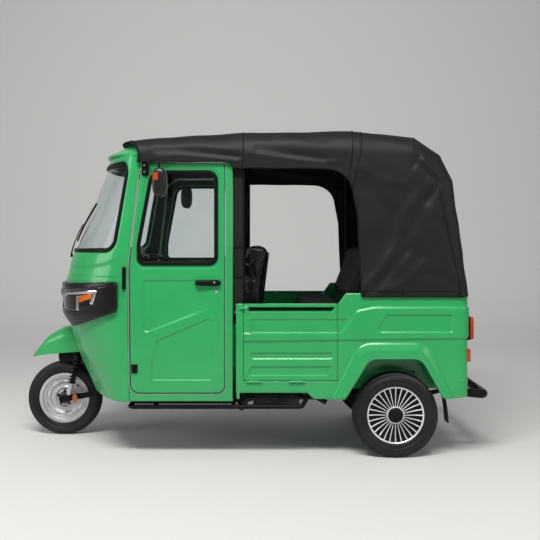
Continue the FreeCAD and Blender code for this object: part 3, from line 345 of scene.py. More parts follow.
def capped(shape: MeshData, first: np.ndarray, last: np.ndarray) -> MeshData:
    """Closes a tube's two ends with fans round their middles.

    Args:
        shape: The tube.
        first: Point numbers round the first end, in the tube's own turning sense.
        last: Point numbers round the last end.

    Returns:
        The closed shape.
    """
    points, fans = [shape.points], [shape.tris]
    total = len(shape.points)
    for k, (ring, turn) in enumerate(((first, 1), (last, -1))):
        middle = total + k
        points.append(shape.points[ring].mean(0)[None])
        pair = np.stack([ring, np.roll(ring, -turn)], 1)
        fans.append(np.concatenate([pair, np.full((len(ring), 1), middle)], 1))
    return MeshData(np.concatenate(points), shape.quads, np.concatenate(fans))


def sweep(path: np.ndarray, up: np.ndarray, profile: np.ndarray, closed: bool = False) -> MeshData:
    """A profile carried along a path: point + across * p + up' * q.

    The tangent t is the path's central difference, across = t x up, and up' = across x t.

    Args:
        path: (n, 3) points.
        up: One direction, or one for each point, that the profile's q follows.
        profile: (m, 2) points, anticlockwise as seen along the path.
        closed: The path's end joins its start.

    Returns:
        The swept mesh, with its ends closed where the path is open.
    """
    if closed:
        tangent = np.roll(path, -1, 0) - np.roll(path, 1, 0)
    else:
        tangent = np.gradient(path, axis=0)
    tangent = unit(tangent)
    across = unit(np.cross(tangent, np.broadcast_to(up, path.shape)))
    upward = np.cross(across, tangent)
    grid = (path[:, None] + across[:, None] * profile[None, :, :1]
            + upward[:, None] * profile[None, :, 1:])
    shape = lattice(grid, wrap_rows=closed, wrap_columns=True)
    if closed:
        return outward(shape)
    m = len(profile)
    n = len(path)
    return outward(capped(shape, np.arange(m), np.arange(m) + (n - 1) * m))


def circle(radius: float, count: int = 12, tall: float = 1.0) -> np.ndarray:
    """Points (r cos a, tall r sin a) round a circle, turned as sweep() needs."""
    angles = np.linspace(0, 2 * math.pi, count, endpoint=False)
    return radius * np.stack([np.cos(angles), tall * np.sin(angles)], 1)


def soft_rectangle(wide: float, tall: float, radius: float, count: int = 4) -> np.ndarray:
    """A rectangle's outline with round corners, centred, for sweep()."""
    a, b = wide / 2, tall / 2
    corners = ((-a, -b, radius), (a, -b, radius), (a, b, radius), (-a, b, radius))
    angles = np.linspace(0, math.pi / 2, count)
    rows = []
    for k, (u, v, r) in enumerate(corners):
        turn = angles + math.pi + k * math.pi / 2
        middle = (u - math.copysign(r, u), v - math.copysign(r, v))
        rows.append(np.stack([middle[0] + r * np.cos(turn), middle[1] + r * np.sin(turn)], 1))
    return np.concatenate(rows)


def rounded_path(points: Sequence[Sequence[float]], bend: float, count: int = 8) -> np.ndarray:
    """An open path of straight runs whose corners are tangent arcs of one radius."""
    spots = np.array(points, float)
    rows = [spots[:1]]
    for before, here, after in zip(spots, spots[1:], spots[2:]):
        back, ahead = unit(before - here), unit(after - here)
        half = 0.5 * math.acos(float(np.clip(back @ ahead, -1.0, 1.0)))
        if half > STRAIGHT_RUN:
            rows.append(here[None])
            continue
        shorter = min(np.linalg.norm(before - here), np.linalg.norm(after - here))
        reach = min(bend / math.tan(half), 0.45 * shorter)
        t = np.linspace(0, 1, count)[:, None]
        start, end = here + back * reach, here + ahead * reach
        rows.append((1 - t) ** 2 * start + 2 * t * (1 - t) * here + t ** 2 * end)
    rows.append(spots[-1:])
    return np.concatenate(rows)


def tube(points: Sequence[Sequence[float]], radius: float, bend: float = 30.0,
         up: tuple[float, float, float] = (0.03, 0.05, 1.0), count: int = 12) -> MeshData:
    """A round bar along a path with round bends."""
    return sweep(rounded_path(points, bend), np.array(up), circle(radius, count))


def revolved(profile: np.ndarray, centre: Sequence[float], count: int, closed: bool = True,
             axis: str = "y") -> MeshData:
    """A profile turned about a cross axis: centre + (r cos a, offset, r sin a).

    Args:
        profile: (m, 2) rows of radius and offset along the axis.
        centre: The axis's point at offset 0.
        count: Steps round the circle.
        closed: The profile's end joins its start.
        axis: "y" for wheels, "z" for upright turned pieces, "x" for lengthwise ones.

    Returns:
        The turned mesh.
    """
    angles = np.linspace(0, 2 * math.pi, count, endpoint=False)[:, None]
    radius, offset = profile[None, :, 0], profile[None, :, 1] + 0 * angles
    first, second = radius * np.cos(angles), radius * np.sin(angles)
    order = {"y": (first, offset, second), "z": (second, first, offset), "x": (offset, second, first)}[axis]
    grid = np.stack(order, -1) + np.array(centre, float)
    shape = lattice(grid, wrap_rows=True, wrap_columns=closed)
    return outward(shape) if closed else shape


@dataclass(frozen=True)
class Panel:
    """A thick sheet over an outline with holes, its skin shaped by pressings and beads.

    The skin is a grid in (u, v). A grid point within half a step of an edge is moved onto it, and
    faces with every corner inside are kept. Its height is the sum of the reliefs less the edge
    rounding r - sqrt(r^2 - (r - d)^2), where d is the distance to the edge.
    """

    outline: Outline
    holes: tuple[Outline, ...] = ()
    reliefs: tuple[Pressing | Bead, ...] = ()
    step: float = 5.0
    edge: float = 4.0
    wall: float = 25.0

    def shell(self, place: Place) -> MeshData:
        """The closed sheet, put in space by place(u, v, out).

        Args:
            place: Gives the points for u, v and the height above the skin.

        Returns:
            The mesh, which faces out for the left side.
        """
        low, high = self.outline.points.min(0), self.outline.points.max(0)
        counts = np.maximum(2, np.ceil((high - low) / self.step).astype(int) + 1)
        u, v = (np.linspace(low[i], high[i], counts[i]) for i in (0, 1))
        grid = np.stack(np.meshgrid(u, v, indexing="ij"), -1).reshape(-1, 2)
        distance, closest = self.outline.nearest(grid)
        for hole in self.holes:
            inner, spot = hole.nearest(grid)
            nearer = -inner > distance
            distance = np.where(nearer, -inner, distance)
            closest = np.where(nearer[:, None], spot, closest)
        snap = np.abs(distance) <= SNAP_SHARE * max((high - low) / (counts - 1))
        grid[snap] = closest[snap]
        distance[snap] = 0.0
        kept = distance <= 0
        index = np.arange(len(grid)).reshape(counts)
        quads = np.stack([index[:-1, :-1], index[1:, :-1], index[1:, 1:], index[:-1, 1:]], -1).reshape(-1, 4)
        good = kept[quads].sum(1)
        edge_only = (distance[quads] == 0).all(1)
        middle = grid[quads].mean(1)
        outside = np.zeros(len(quads), bool)
        outside[edge_only] = self.outline.nearest(middle[edge_only])[0] > 0
        for hole in self.holes:
            outside[edge_only] |= hole.nearest(middle[edge_only])[0] < 0
        whole = quads[(good == 4) & ~outside]
        three = quads[good == 3]
        missing = (~kept[three]).argmax(1)
        order = (missing[:, None] + np.arange(1, 4)) % 4
        tris = np.take_along_axis(three, order, 1)
        deep = -distance
        height = sum((r.height(grid) for r in self.reliefs), np.zeros(len(grid)))
        if self.edge > 0:
            near = np.clip(self.edge - deep, 0, self.edge)
            height = height - (self.edge - np.sqrt(np.maximum(self.edge ** 2 - near ** 2, 0)))
        used = np.unique(np.concatenate([whole.ravel(), tris.ravel()]))
        number = np.full(len(grid), -1)
        number[used] = np.arange(len(used))
        grid, height = grid[used], height[used]
        whole, tris = number[whole], number[tris]
        pairs = np.concatenate([np.stack([whole[:, i], whole[:, (i + 1) % 4]], 1) for i in range(4)]
                               + [np.stack([tris[:, i], tris[:, (i + 1) % 3]], 1) for i in range(3)])
        key = pairs[:, 0] * len(used) + pairs[:, 1]
        rim = pairs[~np.isin(key, pairs[:, 1] * len(used) + pairs[:, 0])]
        total = len(grid)
        front = place(grid[:, 0], grid[:, 1], height)
        back = place(grid[:, 0], grid[:, 1], np.full(total, -self.wall))
        side = np.stack([rim[:, 1], rim[:, 0], rim[:, 0] + total, rim[:, 1] + total], 1)
        return MeshData(
            np.concatenate([front, back]),
            np.concatenate([whole, whole[:, ::-1] + total, side]),
            np.concatenate([tris, tris[:, ::-1] + total]),
        )


def side_plane(y: float) -> Place:
    """Places (x, z, out) on the plane at -y, with out towards -Y."""
    return lambda u, v, out: np.stack([u, -y - out, v], -1)


# Materials


class Nodes:
    """A short way to add and join shader nodes in one tree."""

    def __init__(self, tree: bpy.types.NodeTree) -> None:
        """Keeps the tree."""
        self.tree = tree

    def add(self, kind: str, **values: object) -> bpy.types.Node:
        """A node with its properties or named inputs set.

        Args:
            kind: The node's type name.
            values: Properties, or inputs with underscores for spaces; a socket joins it.

        Returns:
            The node.
        """
        node = self.tree.nodes.new(kind)
        for name, value in values.items():
            if hasattr(node, name):
                setattr(node, name, value)
            else:
                self.feed(node.inputs[name.replace("_", " ")], value)
        return node

    def feed(self, socket: bpy.types.NodeSocket, value: object) -> None:
        """Sets a socket's value, or joins another socket to it."""
        if isinstance(value, bpy.types.NodeSocket):
            self.tree.links.new(value, socket)
        else:
            socket.default_value = value

    def maths(self, operation: str, a: object, b: object = 0.5) -> bpy.types.NodeSocket:
        """The result of a two-value Math node."""
        node = self.add("ShaderNodeMath", operation=operation)
        self.feed(node.inputs[0], a)
        self.feed(node.inputs[1], b)
        return node.outputs[0]

    def mix(self, factor: object, a: object, b: object) -> bpy.types.NodeSocket:
        """The colour between a and b."""
        node = self.add("ShaderNodeMix", data_type="RGBA")
        self.feed(node.inputs[0], factor)
        self.feed(node.inputs[6], a)
        self.feed(node.inputs[7], b)
        return node.outputs[2]

    def span(self, value: object, low: float, high: float, to_low: float = 0.0,
             to_high: float = 1.0) -> bpy.types.NodeSocket:
        """A value carried smoothly from one range to another."""
        node = self.add("ShaderNodeMapRange", interpolation_type="SMOOTHSTEP")
        for i, part in enumerate((value, low, high, to_low, to_high)):
            self.feed(node.inputs[i], part)
        return node.outputs[0]


Group = tuple[bpy.types.NodeTree, Nodes, bpy.types.Node, bpy.types.Node]


def new_group(name: str, inputs: Sequence[tuple[str, str, object]],
              outputs: Sequence[tuple[str, str]]) -> Group:
    """An empty shader node group with named sockets.

    Args:
        name: The group's name.
        inputs: Rows of name, socket type and default.
        outputs: Rows of name and socket type.

    Returns:
        The tree, its node adder, and its input and output nodes.
    """
    tree = bpy.data.node_groups.new(name, "ShaderNodeTree")
    for label, kind, value in inputs:
        socket = tree.interface.new_socket(name=label, in_out="INPUT", socket_type=kind)
        socket.default_value = value
    for label, kind in outputs:
        tree.interface.new_socket(name=label, in_out="OUTPUT", socket_type=kind)
    nodes = Nodes(tree)
    return tree, nodes, nodes.add("NodeGroupInput"), nodes.add("NodeGroupOutput")


FLOAT, COLOUR = "NodeSocketFloat", "NodeSocketColor"


def grain_group() -> bpy.types.NodeTree:
    """Grain: fine and coarse noise as a height, a colour mask and a roughness."""
    tree, nodes, start, end = new_group(
        "grain",
        (("Size", FLOAT, 300.0), ("Coarse", FLOAT, 6.0), ("Roughness", FLOAT, 0.5), ("Spread", FLOAT, 0.1)),
        (("Height", FLOAT), ("Mask", FLOAT), ("Roughness", FLOAT)),
    )
    place = nodes.add("ShaderNodeTexCoord").outputs["Object"]
    fine = nodes.add("ShaderNodeTexNoise", Vector=place, Scale=start.outputs["Size"], Detail=3.0)
    broad = nodes.add("ShaderNodeTexNoise", Vector=place, Scale=start.outputs["Coarse"], Detail=5.0)
    nodes.feed(end.inputs["Height"], fine.outputs[0])
    nodes.feed(end.inputs["Mask"], nodes.span(broad.outputs[0], 0.35, 0.7))
    swing = nodes.maths("MULTIPLY", nodes.maths("SUBTRACT", broad.outputs[0], 0.5), start.outputs["Spread"])
    nodes.feed(end.inputs["Roughness"], nodes.maths("ADD", start.outputs["Roughness"], swing))
    return tree


def dust_group() -> bpy.types.NodeTree:
    """Dust: pale road film that thickens towards the ground and gathers in patches."""
    tree, nodes, start, end = new_group(
        "dust",
        (("Colour", COLOUR, (1, 1, 1, 1)), ("Film", COLOUR, (0.36, 0.33, 0.28, 1)), ("Amount", FLOAT, 0.3),
         ("Top", FLOAT, 0.7), ("Roughness", FLOAT, 0.3)),
        (("Colour", COLOUR), ("Roughness", FLOAT)),
    )
    place = nodes.add("ShaderNodeTexCoord").outputs["Object"]
    height = nodes.add("ShaderNodeSeparateXYZ", Vector=place).outputs["Z"]
    patch = nodes.add("ShaderNodeTexNoise", Vector=place, Scale=9.0, Detail=8.0, Roughness=0.65).outputs[0]
    fall = nodes.span(nodes.maths("DIVIDE", height, start.outputs["Top"]), 1.0, 0.1)
    mask = nodes.maths("MULTIPLY", nodes.maths("MULTIPLY", fall, nodes.span(patch, 0.35, 0.75)),
                       start.outputs["Amount"])
    nodes.feed(end.inputs["Colour"], nodes.mix(mask, start.outputs["Colour"], start.outputs["Film"]))
    nodes.feed(end.inputs["Roughness"], nodes.maths("ADD", start.outputs["Roughness"],
                                                    nodes.maths("MULTIPLY", mask, 0.7)))
    return tree


def weave_group() -> bpy.types.NodeTree:
    """Weave: crossed threads as a height, from two sine waves along the cloth."""
    tree, nodes, start, end = new_group(
        "weave", (("Threads", FLOAT, 900.0),), (("Height", FLOAT),))
    place = nodes.add("ShaderNodeTexCoord").outputs["Object"]
    parts = nodes.add("ShaderNodeSeparateXYZ", Vector=place)
    along = nodes.maths("ADD", parts.outputs["X"], nodes.maths("MULTIPLY", parts.outputs["Y"], 0.7))
    rise = nodes.maths("ADD", parts.outputs["Z"], nodes.maths("MULTIPLY", parts.outputs["Y"], 0.7))
    waves = [nodes.maths("SINE", nodes.maths("MULTIPLY", value, start.outputs["Threads"]), 0.0)
             for value in (along, rise)]
    nodes.feed(end.inputs["Height"], nodes.maths("MULTIPLY", waves[0], waves[1]))
    return tree


@dataclass(frozen=True)
class Finish:
    """A surface finish: its colour, gloss and the size and strength of its texture.

    Attributes:
        name: The material's name.
        colour: Base colour.
        roughness: Roughness of the clean surface.
        slot: A slot name, which nothing reads.
        metallic: Share of metal.
        coat: Strength of the clear coat.
        grain: Scale of the grain's noise; a larger one is finer.
        bump: Strength of the relief.
        bump_mm: Height of the relief in millimetres.
        shade: How much darker the grain's dark places are.
        dust: Amount of dust.
        dust_top: Height in metres up to which it lies.
        threads: Density of the weave, or 0 for none.
        sheen: Strength of the cloth's sheen.
        glow: Strength of the light that it gives off, a painted glow that brightens a lens.
        clear: Share of light that passes through.
        spread: How far the grain moves the roughness.
        shine: Strength of the reflection, where nothing passes through.
    """

    name: str
    colour: tuple[float, float, float]
    roughness: float
    slot: str
    metallic: float = 0.0
    coat: float = 0.0
    grain: float = 300.0
    bump: float = 0.05
    bump_mm: float = 0.3
    shade: float = 0.12
    dust: float = 0.0
    dust_top: float = 0.8
    threads: float = 0.0
    sheen: float = 0.0
    glow: float = 0.0
    clear: float = 0.0
    spread: float = 0.12
    shine: float = 0.12

    def material(self) -> bpy.types.Material:
        """Builds the finish as a node material.

        Returns:
            The material, made once.
        """
        made = bpy.data.materials.get(self.name)
        if made:
            return made
        made = bpy.data.materials.new(self.name)
        made.use_nodes = True
        nodes = Nodes(made.node_tree)
        shader = made.node_tree.nodes["Principled BSDF"]
        sockets = {"Metallic": self.metallic, "Coat Weight": self.coat, "Coat Roughness": 0.06,
                   "Specular IOR Level": 0.5 if self.clear else self.shine,
                   "Sheen Weight": self.sheen, "Sheen Roughness": 0.4}
        if self.clear:
            sockets.update({"Transmission Weight": self.clear, "IOR": 1.2})
        for name, value in sockets.items():
            shader.inputs[name].default_value = value
        grain = nodes.add("ShaderNodeGroup", node_tree=GROUPS["grain"], Size=self.grain,
                          Roughness=self.roughness, Spread=self.spread)
        dark = tuple(c * (1 - self.shade) for c in self.colour) + (1.0,)
        colour = nodes.mix(grain.outputs["Mask"], dark, self.colour + (1.0,))
        roughness = grain.outputs["Roughness"]
        if self.dust:
            dust = nodes.add("ShaderNodeGroup", node_tree=GROUPS["dust"], Colour=colour,
                             Roughness=roughness, Amount=self.dust, Top=self.dust_top)
            colour, roughness = dust.outputs["Colour"], dust.outputs["Roughness"]
        nodes.feed(shader.inputs["Base Color"], colour)
        nodes.feed(shader.inputs["Roughness"], roughness)
        height = grain.outputs["Height"]
        if self.threads:
            weave = nodes.add("ShaderNodeGroup", node_tree=GROUPS["weave"], Threads=self.threads)
            height = nodes.maths("ADD", height, weave.outputs["Height"])
        bump = nodes.add("ShaderNodeBump", Strength=self.bump, Distance=self.bump_mm * 0.001, Height=height)
        nodes.feed(shader.inputs["Normal"], bump.outputs[0])
        # The glow is painted light that brightens the lens.
        if self.glow:
            nodes.feed(shader.inputs["Emission Color"], colour)
            shader.inputs["Emission Strength"].default_value = self.glow
        return made


GROUPS: dict[str, bpy.types.NodeTree] = {}

PAINT = Finish("green_body_paint", (0.02, 0.34, 0.096), 0.28, "green_paint", coat=0.28, grain=420.0,
               bump=0.03, shade=0.05, dust=0.08, dust_top=0.7, shine=0.4, spread=0.05)
CANVAS = Finish("coated_black_canvas", (0.0085, 0.0085, 0.0075), 0.56, "black_canvas", grain=500.0, bump=0.35,
                bump_mm=0.4, shade=0.25, threads=1.0, shine=0.25)
WEB = Finish("woven_black_edging", (0.008, 0.008, 0.008), 0.7, "black_canvas", grain=800.0, bump=0.5,
             threads=1.0)
RUBBER = Finish("black_seal_rubber", (0.0045, 0.0045, 0.0045), 0.45, "black_rubber", grain=700.0, bump=0.1)
PLASTIC = Finish("moulded_black_plastic", (0.0055, 0.0055, 0.0055), 0.36, "black_plastic", grain=900.0,
                 bump=0.2)
GLOSS_PLASTIC = Finish("gloss_black_lamp_band", (0.006, 0.006, 0.006), 0.24, "black_plastic", coat=0.12,
                       grain=900.0, bump=0.05, shine=0.25)
GLASS = Finish("safety_glass", (0.9, 0.95, 0.96), 0.02, "clear_glass", clear=1.0, bump=0.0, shade=0.02,
               spread=0.0)
LENS = Finish("smoked_lamp_lens", (0.007, 0.007, 0.008), 0.06, "lamp_lens", coat=0.5, bump=0.0, spread=0.0)
# The amber lens glows: painted light that brightens it.
AMBER = Finish("amber_lens", (0.7, 0.14, 0.01), 0.2, "lamp_lens", coat=0.3, grain=600.0, shade=0.35,
               glow=0.12)
# The mirror's signal lens glows: painted light that brightens it.
DEEP_AMBER = Finish("deep_amber_lens", (0.42, 0.05, 0.01), 0.25, "mirror_shell", coat=0.3, grain=600.0,
                    shade=0.35, glow=0.08)
CHROME = Finish("bright_chrome", (0.86, 0.87, 0.88), 0.12, "lamp_lens", metallic=1.0, bump=0.01, shade=0.03)
# The red tail lens glows: painted light that brightens it.
TAIL_RED = Finish("red_tail_lens", (0.55, 0.05, 0.014), 0.18, "tail_lens", coat=0.3, grain=500.0, shade=0.4,
                  glow=0.03)
MIRROR = Finish("black_mirror_shell", (0.009, 0.009, 0.009), 0.32, "mirror_shell", grain=700.0, bump=0.08,
                shine=0.4)
STEEL = Finish("black_chassis_paint", (0.005, 0.005, 0.0055), 0.4, "black_steel", grain=260.0, bump=0.15,
               dust=0.04, dust_top=0.35)
ALLOY = Finish("cast_engine_alloy", (0.1, 0.1, 0.105), 0.5, "engine_metal", metallic=0.8, bump=0.3, dust=0.2)
EXHAUST = Finish("heatproof_black", (0.012, 0.012, 0.012), 0.55, "exhaust_steel", metallic=0.3, bump=0.25,
                 dust=0.2)
VINYL = Finish("black_seat_vinyl", (0.009, 0.0095, 0.011), 0.3, "seat_vinyl", grain=60.0, bump=0.7,
               bump_mm=4.0, coat=0.25, shine=0.3)
TYRE = Finish("matt_tyre_rubber", (0.0055, 0.0055, 0.006), 0.42, "tyre_rubber", grain=420.0, bump=0.2,
              dust=0.04, dust_top=0.5, shine=0.3)
SILVER = Finish("silver_wheel_paint", (0.56, 0.57, 0.58), 0.36, "silver_wheel", metallic=0.6, grain=500.0,
                bump=0.02, spread=0.04, dust=0.1, dust_top=0.5)
COVER = Finish("black_wheel_cover", (0.008, 0.008, 0.008), 0.33, "spoked_cover", grain=500.0, bump=0.05)
SPOKE = Finish("bright_spoke_metal", (0.78, 0.78, 0.79), 0.35, "spoked_cover", metallic=0.35, bump=0.02)
COPPER = Finish("red_primer_bracket", (0.42, 0.13, 0.045), 0.4, "black_steel", metallic=0.3)
# Near-black green for the wheel boxes: painted shade, as the boxes are green paint in shadow.
WHEEL_BOX_SHADE = Finish("dark_green_undercoat", (0.002, 0.012, 0.006), 0.75, "green_paint", grain=300.0, bump=0.15)
# Near-black sheets on the cab's inner faces: painted shade, since those faces are green paint in shadow.
PAINTED_SHADE = Finish("dark_cab_lining", (0.006, 0.007, 0.006), 0.7, "black_rubber", grain=600.0, bump=0.1)
# Pale line round the door gap: a painted highlight of the lit rolled edges.
EDGE_HIGHLIGHT = Finish("pale_weather_strip", (0.34, 0.32, 0.29), 0.45, "black_rubber", grain=600.0, bump=0.05)
RIM_GREY = Finish("grey_mirror_rim", (0.08, 0.08, 0.082), 0.35, "mirror_shell", grain=700.0, bump=0.05)
BENCH_VINYL = Finish("dull_bench_vinyl", (0.008, 0.0085, 0.01), 0.8, "seat_vinyl", grain=60.0, bump=0.8,
                     bump_mm=5.0, shine=0.06)
FLAP = Finish("mud_flap_rubber", (0.009, 0.009, 0.009), 0.6, "black_rubber", grain=300.0, bump=0.25, dust=0.1)


def add_piece(name: str, shape: MeshData, finish: Finish, body: str, replaces: Sequence[str] = (),
              sharp: float = 40.0) -> bpy.types.Object:
    """Makes a mesh object from a shape, dresses it and lets it ride on a body.

    Args:
        name: The piece's name.
        shape: The mesh in millimetre stations.
        finish: What it is made of.
        body: The CAD body that carries it.
        replaces: CAD nodes it stands for.
        sharp: Edges turned by more than this many degrees stay crisp.

    Returns:
        The object.
    """
    points = frame_points(shape.points)
    quads, tris = shape.quads.astype(np.int32), shape.tris.astype(np.int32)
    mesh = bpy.data.meshes.new(name)
    mesh.vertices.add(len(points))
    mesh.vertices.foreach_set("co", points.astype(np.float32).ravel())
    corners = np.concatenate([quads.ravel(), tris.ravel()])
    mesh.loops.add(len(corners))
    mesh.loops.foreach_set("vertex_index", corners)
    mesh.polygons.add(len(quads) + len(tris))
    starts = np.concatenate([np.arange(len(quads)) * 4, len(quads) * 4 + np.arange(len(tris)) * 3])
    mesh.polygons.foreach_set("loop_start", starts.astype(np.int32))
    mesh.polygons.foreach_set("use_smooth", np.ones(len(quads) + len(tris), bool))
    mesh.update(calc_edges=True)
    mesh.validate()
    mesh.set_sharp_from_angle(angle=math.radians(sharp))
    piece = bpy.data.objects.new(name, mesh)
    bpy.context.scene.collection.objects.link(piece)
    piece.data.materials.append(finish.material())
    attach(piece, body)
    if replaces:
        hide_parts(*replaces)
    LOG.info("%s: %d points, %d faces", name, len(points), len(quads) + len(tris))
    return piece


def add_sided(side: Side, rows: Sequence[tuple[str, MeshData, Finish, str, str]]) -> None:
    """Adds pieces that are made for the left on a side.

    Args:
        side: Where they go.
        rows: Name, shape, finish, CAD body, and the CAD node that the piece stands for or "". In
            the names, * stands for the side's name.
    """
    for name, shape, finish, body, node in rows:
        name, body, node = (text.replace("*", side.label) for text in (name, body, node))
        add_piece(name, shape.on(side), finish, body, [node] if node else [])


# Nose


@dataclass
class NoseForm:
    """The nose's smooth skin, over u round the body from the middle and the height z.

    At each height the plan is an arc through the middle and both corners, then a straight side.
    Positive u runs to the left. The arc takes u up to arc_u, and beyond it x grows as u does. The
    table of sections is joined by straight lines and then blurred, which rounds its creases.

    Attributes:
        arc_u: The u at which the plan's arc ends.
        reach_u: Largest u of the grid.
        low_z: Lowest height of the grid.
        high_z: Highest height of the grid.
        cell: Step of the grid.
        sections: Rows of height, station of the middle and station of the corners.
        grid: The skin's points by height and u.
        normals: The outward directions at the same places.
    """

    arc_u: float = 760.0
    reach_u: float = 1000.0
    low_z: float = 300.0
    high_z: float = 1960.0
    cell: float = 5.0
    sections: tuple[tuple[float, float, float], ...] = (
        (345.0, 240.0, 484.0), (560.0, 133.0, 472.0), (760.0, 62.0, 462.0), (870.0, 30.0, 460.0),
        (1060.0, 18.0, 460.0), (1246.0, 76.0, 480.0), (1900.0, 349.0, 575.0),
    )
    grid: np.ndarray = field(init=False)
    normals: np.ndarray = field(init=False)

    def __post_init__(self) -> None:
        """Works out the skin and its outward directions on the grid."""
        u = np.arange(-self.reach_u, self.reach_u + 1, self.cell)
        z = np.arange(self.low_z, self.high_z + 1, self.cell)
        table = np.array(self.sections)
        front = blurred(np.interp(z, table[:, 0], table[:, 1]), 4.0)[:, None]
        side = blurred(np.interp(z, table[:, 0], table[:, 2]), 4.0)[:, None]
        radius = (CAB_HALF ** 2 + (side - front) ** 2) / (2 * (side - front))
        sweep_angle = np.arcsin(CAB_HALF / radius)
        angle = sweep_angle * np.clip(u / self.arc_u, -1, 1)
        x = front + radius - radius * np.cos(angle) + np.maximum(np.abs(u) - self.arc_u, 0)
        y = -radius * np.sin(angle)
        x, y = (blurred(part.T, 8.0).T for part in (x, y))
        self.grid = np.stack([x, y, np.broadcast_to(z[:, None], x.shape)], -1)
        along = np.gradient(self.grid, axis=1)
        rise = np.gradient(self.grid, axis=0)
        self.normals = unit(np.cross(along, rise))

    def sample(self, table: np.ndarray, u: np.ndarray, z: np.ndarray) -> np.ndarray:
        """Bilinear values of a table at u and z."""
        i = np.clip((z - self.low_z) / self.cell, 0, table.shape[0] - 1.001)
        j = np.clip((u + self.reach_u) / self.cell, 0, table.shape[1] - 1.001)
        i0, j0 = i.astype(int), j.astype(int)
        a, b = (i - i0)[..., None], (j - j0)[..., None]
        return ((1 - a) * ((1 - b) * table[i0, j0] + b * table[i0, j0 + 1])
                + a * ((1 - b) * table[i0 + 1, j0] + b * table[i0 + 1, j0 + 1]))

    def place(self, u: np.ndarray, z: np.ndarray, out: np.ndarray) -> np.ndarray:
        """The skin's point at (u, z), moved outwards by out."""
        u, z = np.asarray(u, float), np.asarray(z, float)
        spot = self.sample(self.grid, u, z)
        return spot + unit(self.sample(self.normals, u, z)) * np.asarray(out, float)[..., None]

    def solved(self, axis: int, sign: float, target: np.ndarray, z: np.ndarray, low: float) -> np.ndarray:
        """The u at which a coordinate reaches its target, by halving the span 26 times.

        Args:
            axis: 0 for x, 1 for y.
            sign: 1 where the coordinate grows with u, -1 where it falls.
            target: Wanted values, already times sign.
            z: Heights.
            low: Lowest u of the search.

        Returns:
            The u values.
        """
        below, above = np.full(len(z), low), np.full(len(z), self.reach_u)
        for _ in range(26):
            middle = 0.5 * (below + above)
            past = sign * self.place(middle, z, 0 * z)[:, axis] > target
            above = np.where(past, middle, above)
            below = np.where(past, below, middle)
        return 0.5 * (below + above)

    def from_side(self, points: np.ndarray) -> np.ndarray:
        """(x, z) seen from the left turned into (u, z)."""
        return np.stack([self.solved(0, 1.0, points[:, 0], points[:, 1], 0.0), points[:, 1]], 1)

    def from_front(self, points: np.ndarray) -> np.ndarray:
        """(y, z) seen from the front turned into (u, z)."""
        return np.stack([self.solved(1, -1.0, -points[:, 0], points[:, 1], -self.reach_u), points[:, 1]], 1)


def blurred(values: np.ndarray, width: float) -> np.ndarray:
    """Values smoothed along the first axis by a bell curve of that many steps, ends kept straight."""
    reach = int(3 * width)
    bell = np.exp(-0.5 * (np.arange(-reach, reach + 1) / width) ** 2)
    bell /= bell.sum()
    start = 2 * values[0] - values[reach:0:-1]
    end = 2 * values[-1] - values[-2:-reach - 2:-1]
    padded = np.concatenate([start, values, end])
    return sum(weight * padded[k:k + len(values)] for k, weight in enumerate(bell))


def thick(grid: np.ndarray, wall: float) -> MeshData:
    """A closed sheet: the grid, a copy moved inwards along its normals by wall, and its rim.

    The normal is the cross of the row and column differences, so rows x columns points out.
    """
    normal = unit(np.cross(np.gradient(grid, axis=0), np.gradient(grid, axis=1)))
    inner = grid - normal * wall
    n, m = grid.shape[:2]
    index = np.arange(n * m).reshape(n, m)
    outer = lattice(grid)
    ring = np.concatenate([index[0, :-1], index[:-1, -1], index[-1, :0:-1], index[:0:-1, 0]])
    ahead = np.roll(ring, -1)
    rim = np.stack([ring, ahead, ahead + n * m, ring + n * m], 1)
    return MeshData(
        np.concatenate([grid.reshape(-1, 3), inner.reshape(-1, 3)]),
        np.concatenate([outer.quads, outer.quads[:, ::-1] + n * m, rim]),
    )


def open_line(points: Sequence[tuple[float, float]], fine: float = 15.0) -> np.ndarray:
    """An open line of straight runs with points added so that no run is longer than fine."""
    spots = np.array(points, float)
    lengths = np.linalg.norm(np.diff(spots, axis=0), axis=1)
    along = np.concatenate([[0], np.cumsum(lengths)])
    t = np.unique(np.concatenate([along, np.arange(0, along[-1], fine)]))
    return np.stack([np.interp(t, along, spots[:, k]) for k in (0, 1)], 1)


def slab(corners: Sequence[tuple[float, float, float]], low: float, high: float, plane: str = "xz",
         edge: float = 3.0, step: float = 12.0, holes: tuple[Outline, ...] = (),
         reliefs: tuple[Pressing | Bead, ...] = ()) -> MeshData:
    """A flat outline with softened edges, given its thickness across a plane.

    Args:
        corners: Rows of (u, v, radius).
        low: Start of the thickness.
        high: End of the thickness; the side at high has the rounded edge and the reliefs.
        plane: "xz" faces -Y and takes low and high as distances to the left, "xy" faces up,
            "yz" faces the rear and "zy" faces the front, with u as y in both.
        edge: Rounding of the face's edge.
        step: Grid step.
        holes: Openings.
        reliefs: Shapes pressed into the face.

    Returns:
        The closed shape.
    """
    placed = {
        "xz": lambda u, v, out: np.stack([u, -high - out, v], -1),
        "xy": lambda u, v, out: np.stack([u, v, high + out], -1),
        "yz": lambda u, v, out: np.stack([high + out, u, v], -1),
        "zy": lambda u, v, out: np.stack([low - out, -u, v], -1),
    }[plane]
    panel = Panel(Outline.rounded(corners, step), holes, reliefs, step, edge, high - low)
    return panel.shell(placed)


PEAK_PLAN_R = 753.9
PEAK_LIP_R = 7405.3
CANVAS_FRONT_R = 1203.0


def lip_height(y: np.ndarray) -> np.ndarray:
    """Height of the peak's lip: an arc from 1875 in the middle to 1849 at the sides."""
    return 1875.0 - (PEAK_LIP_R - np.sqrt(PEAK_LIP_R ** 2 - y ** 2))


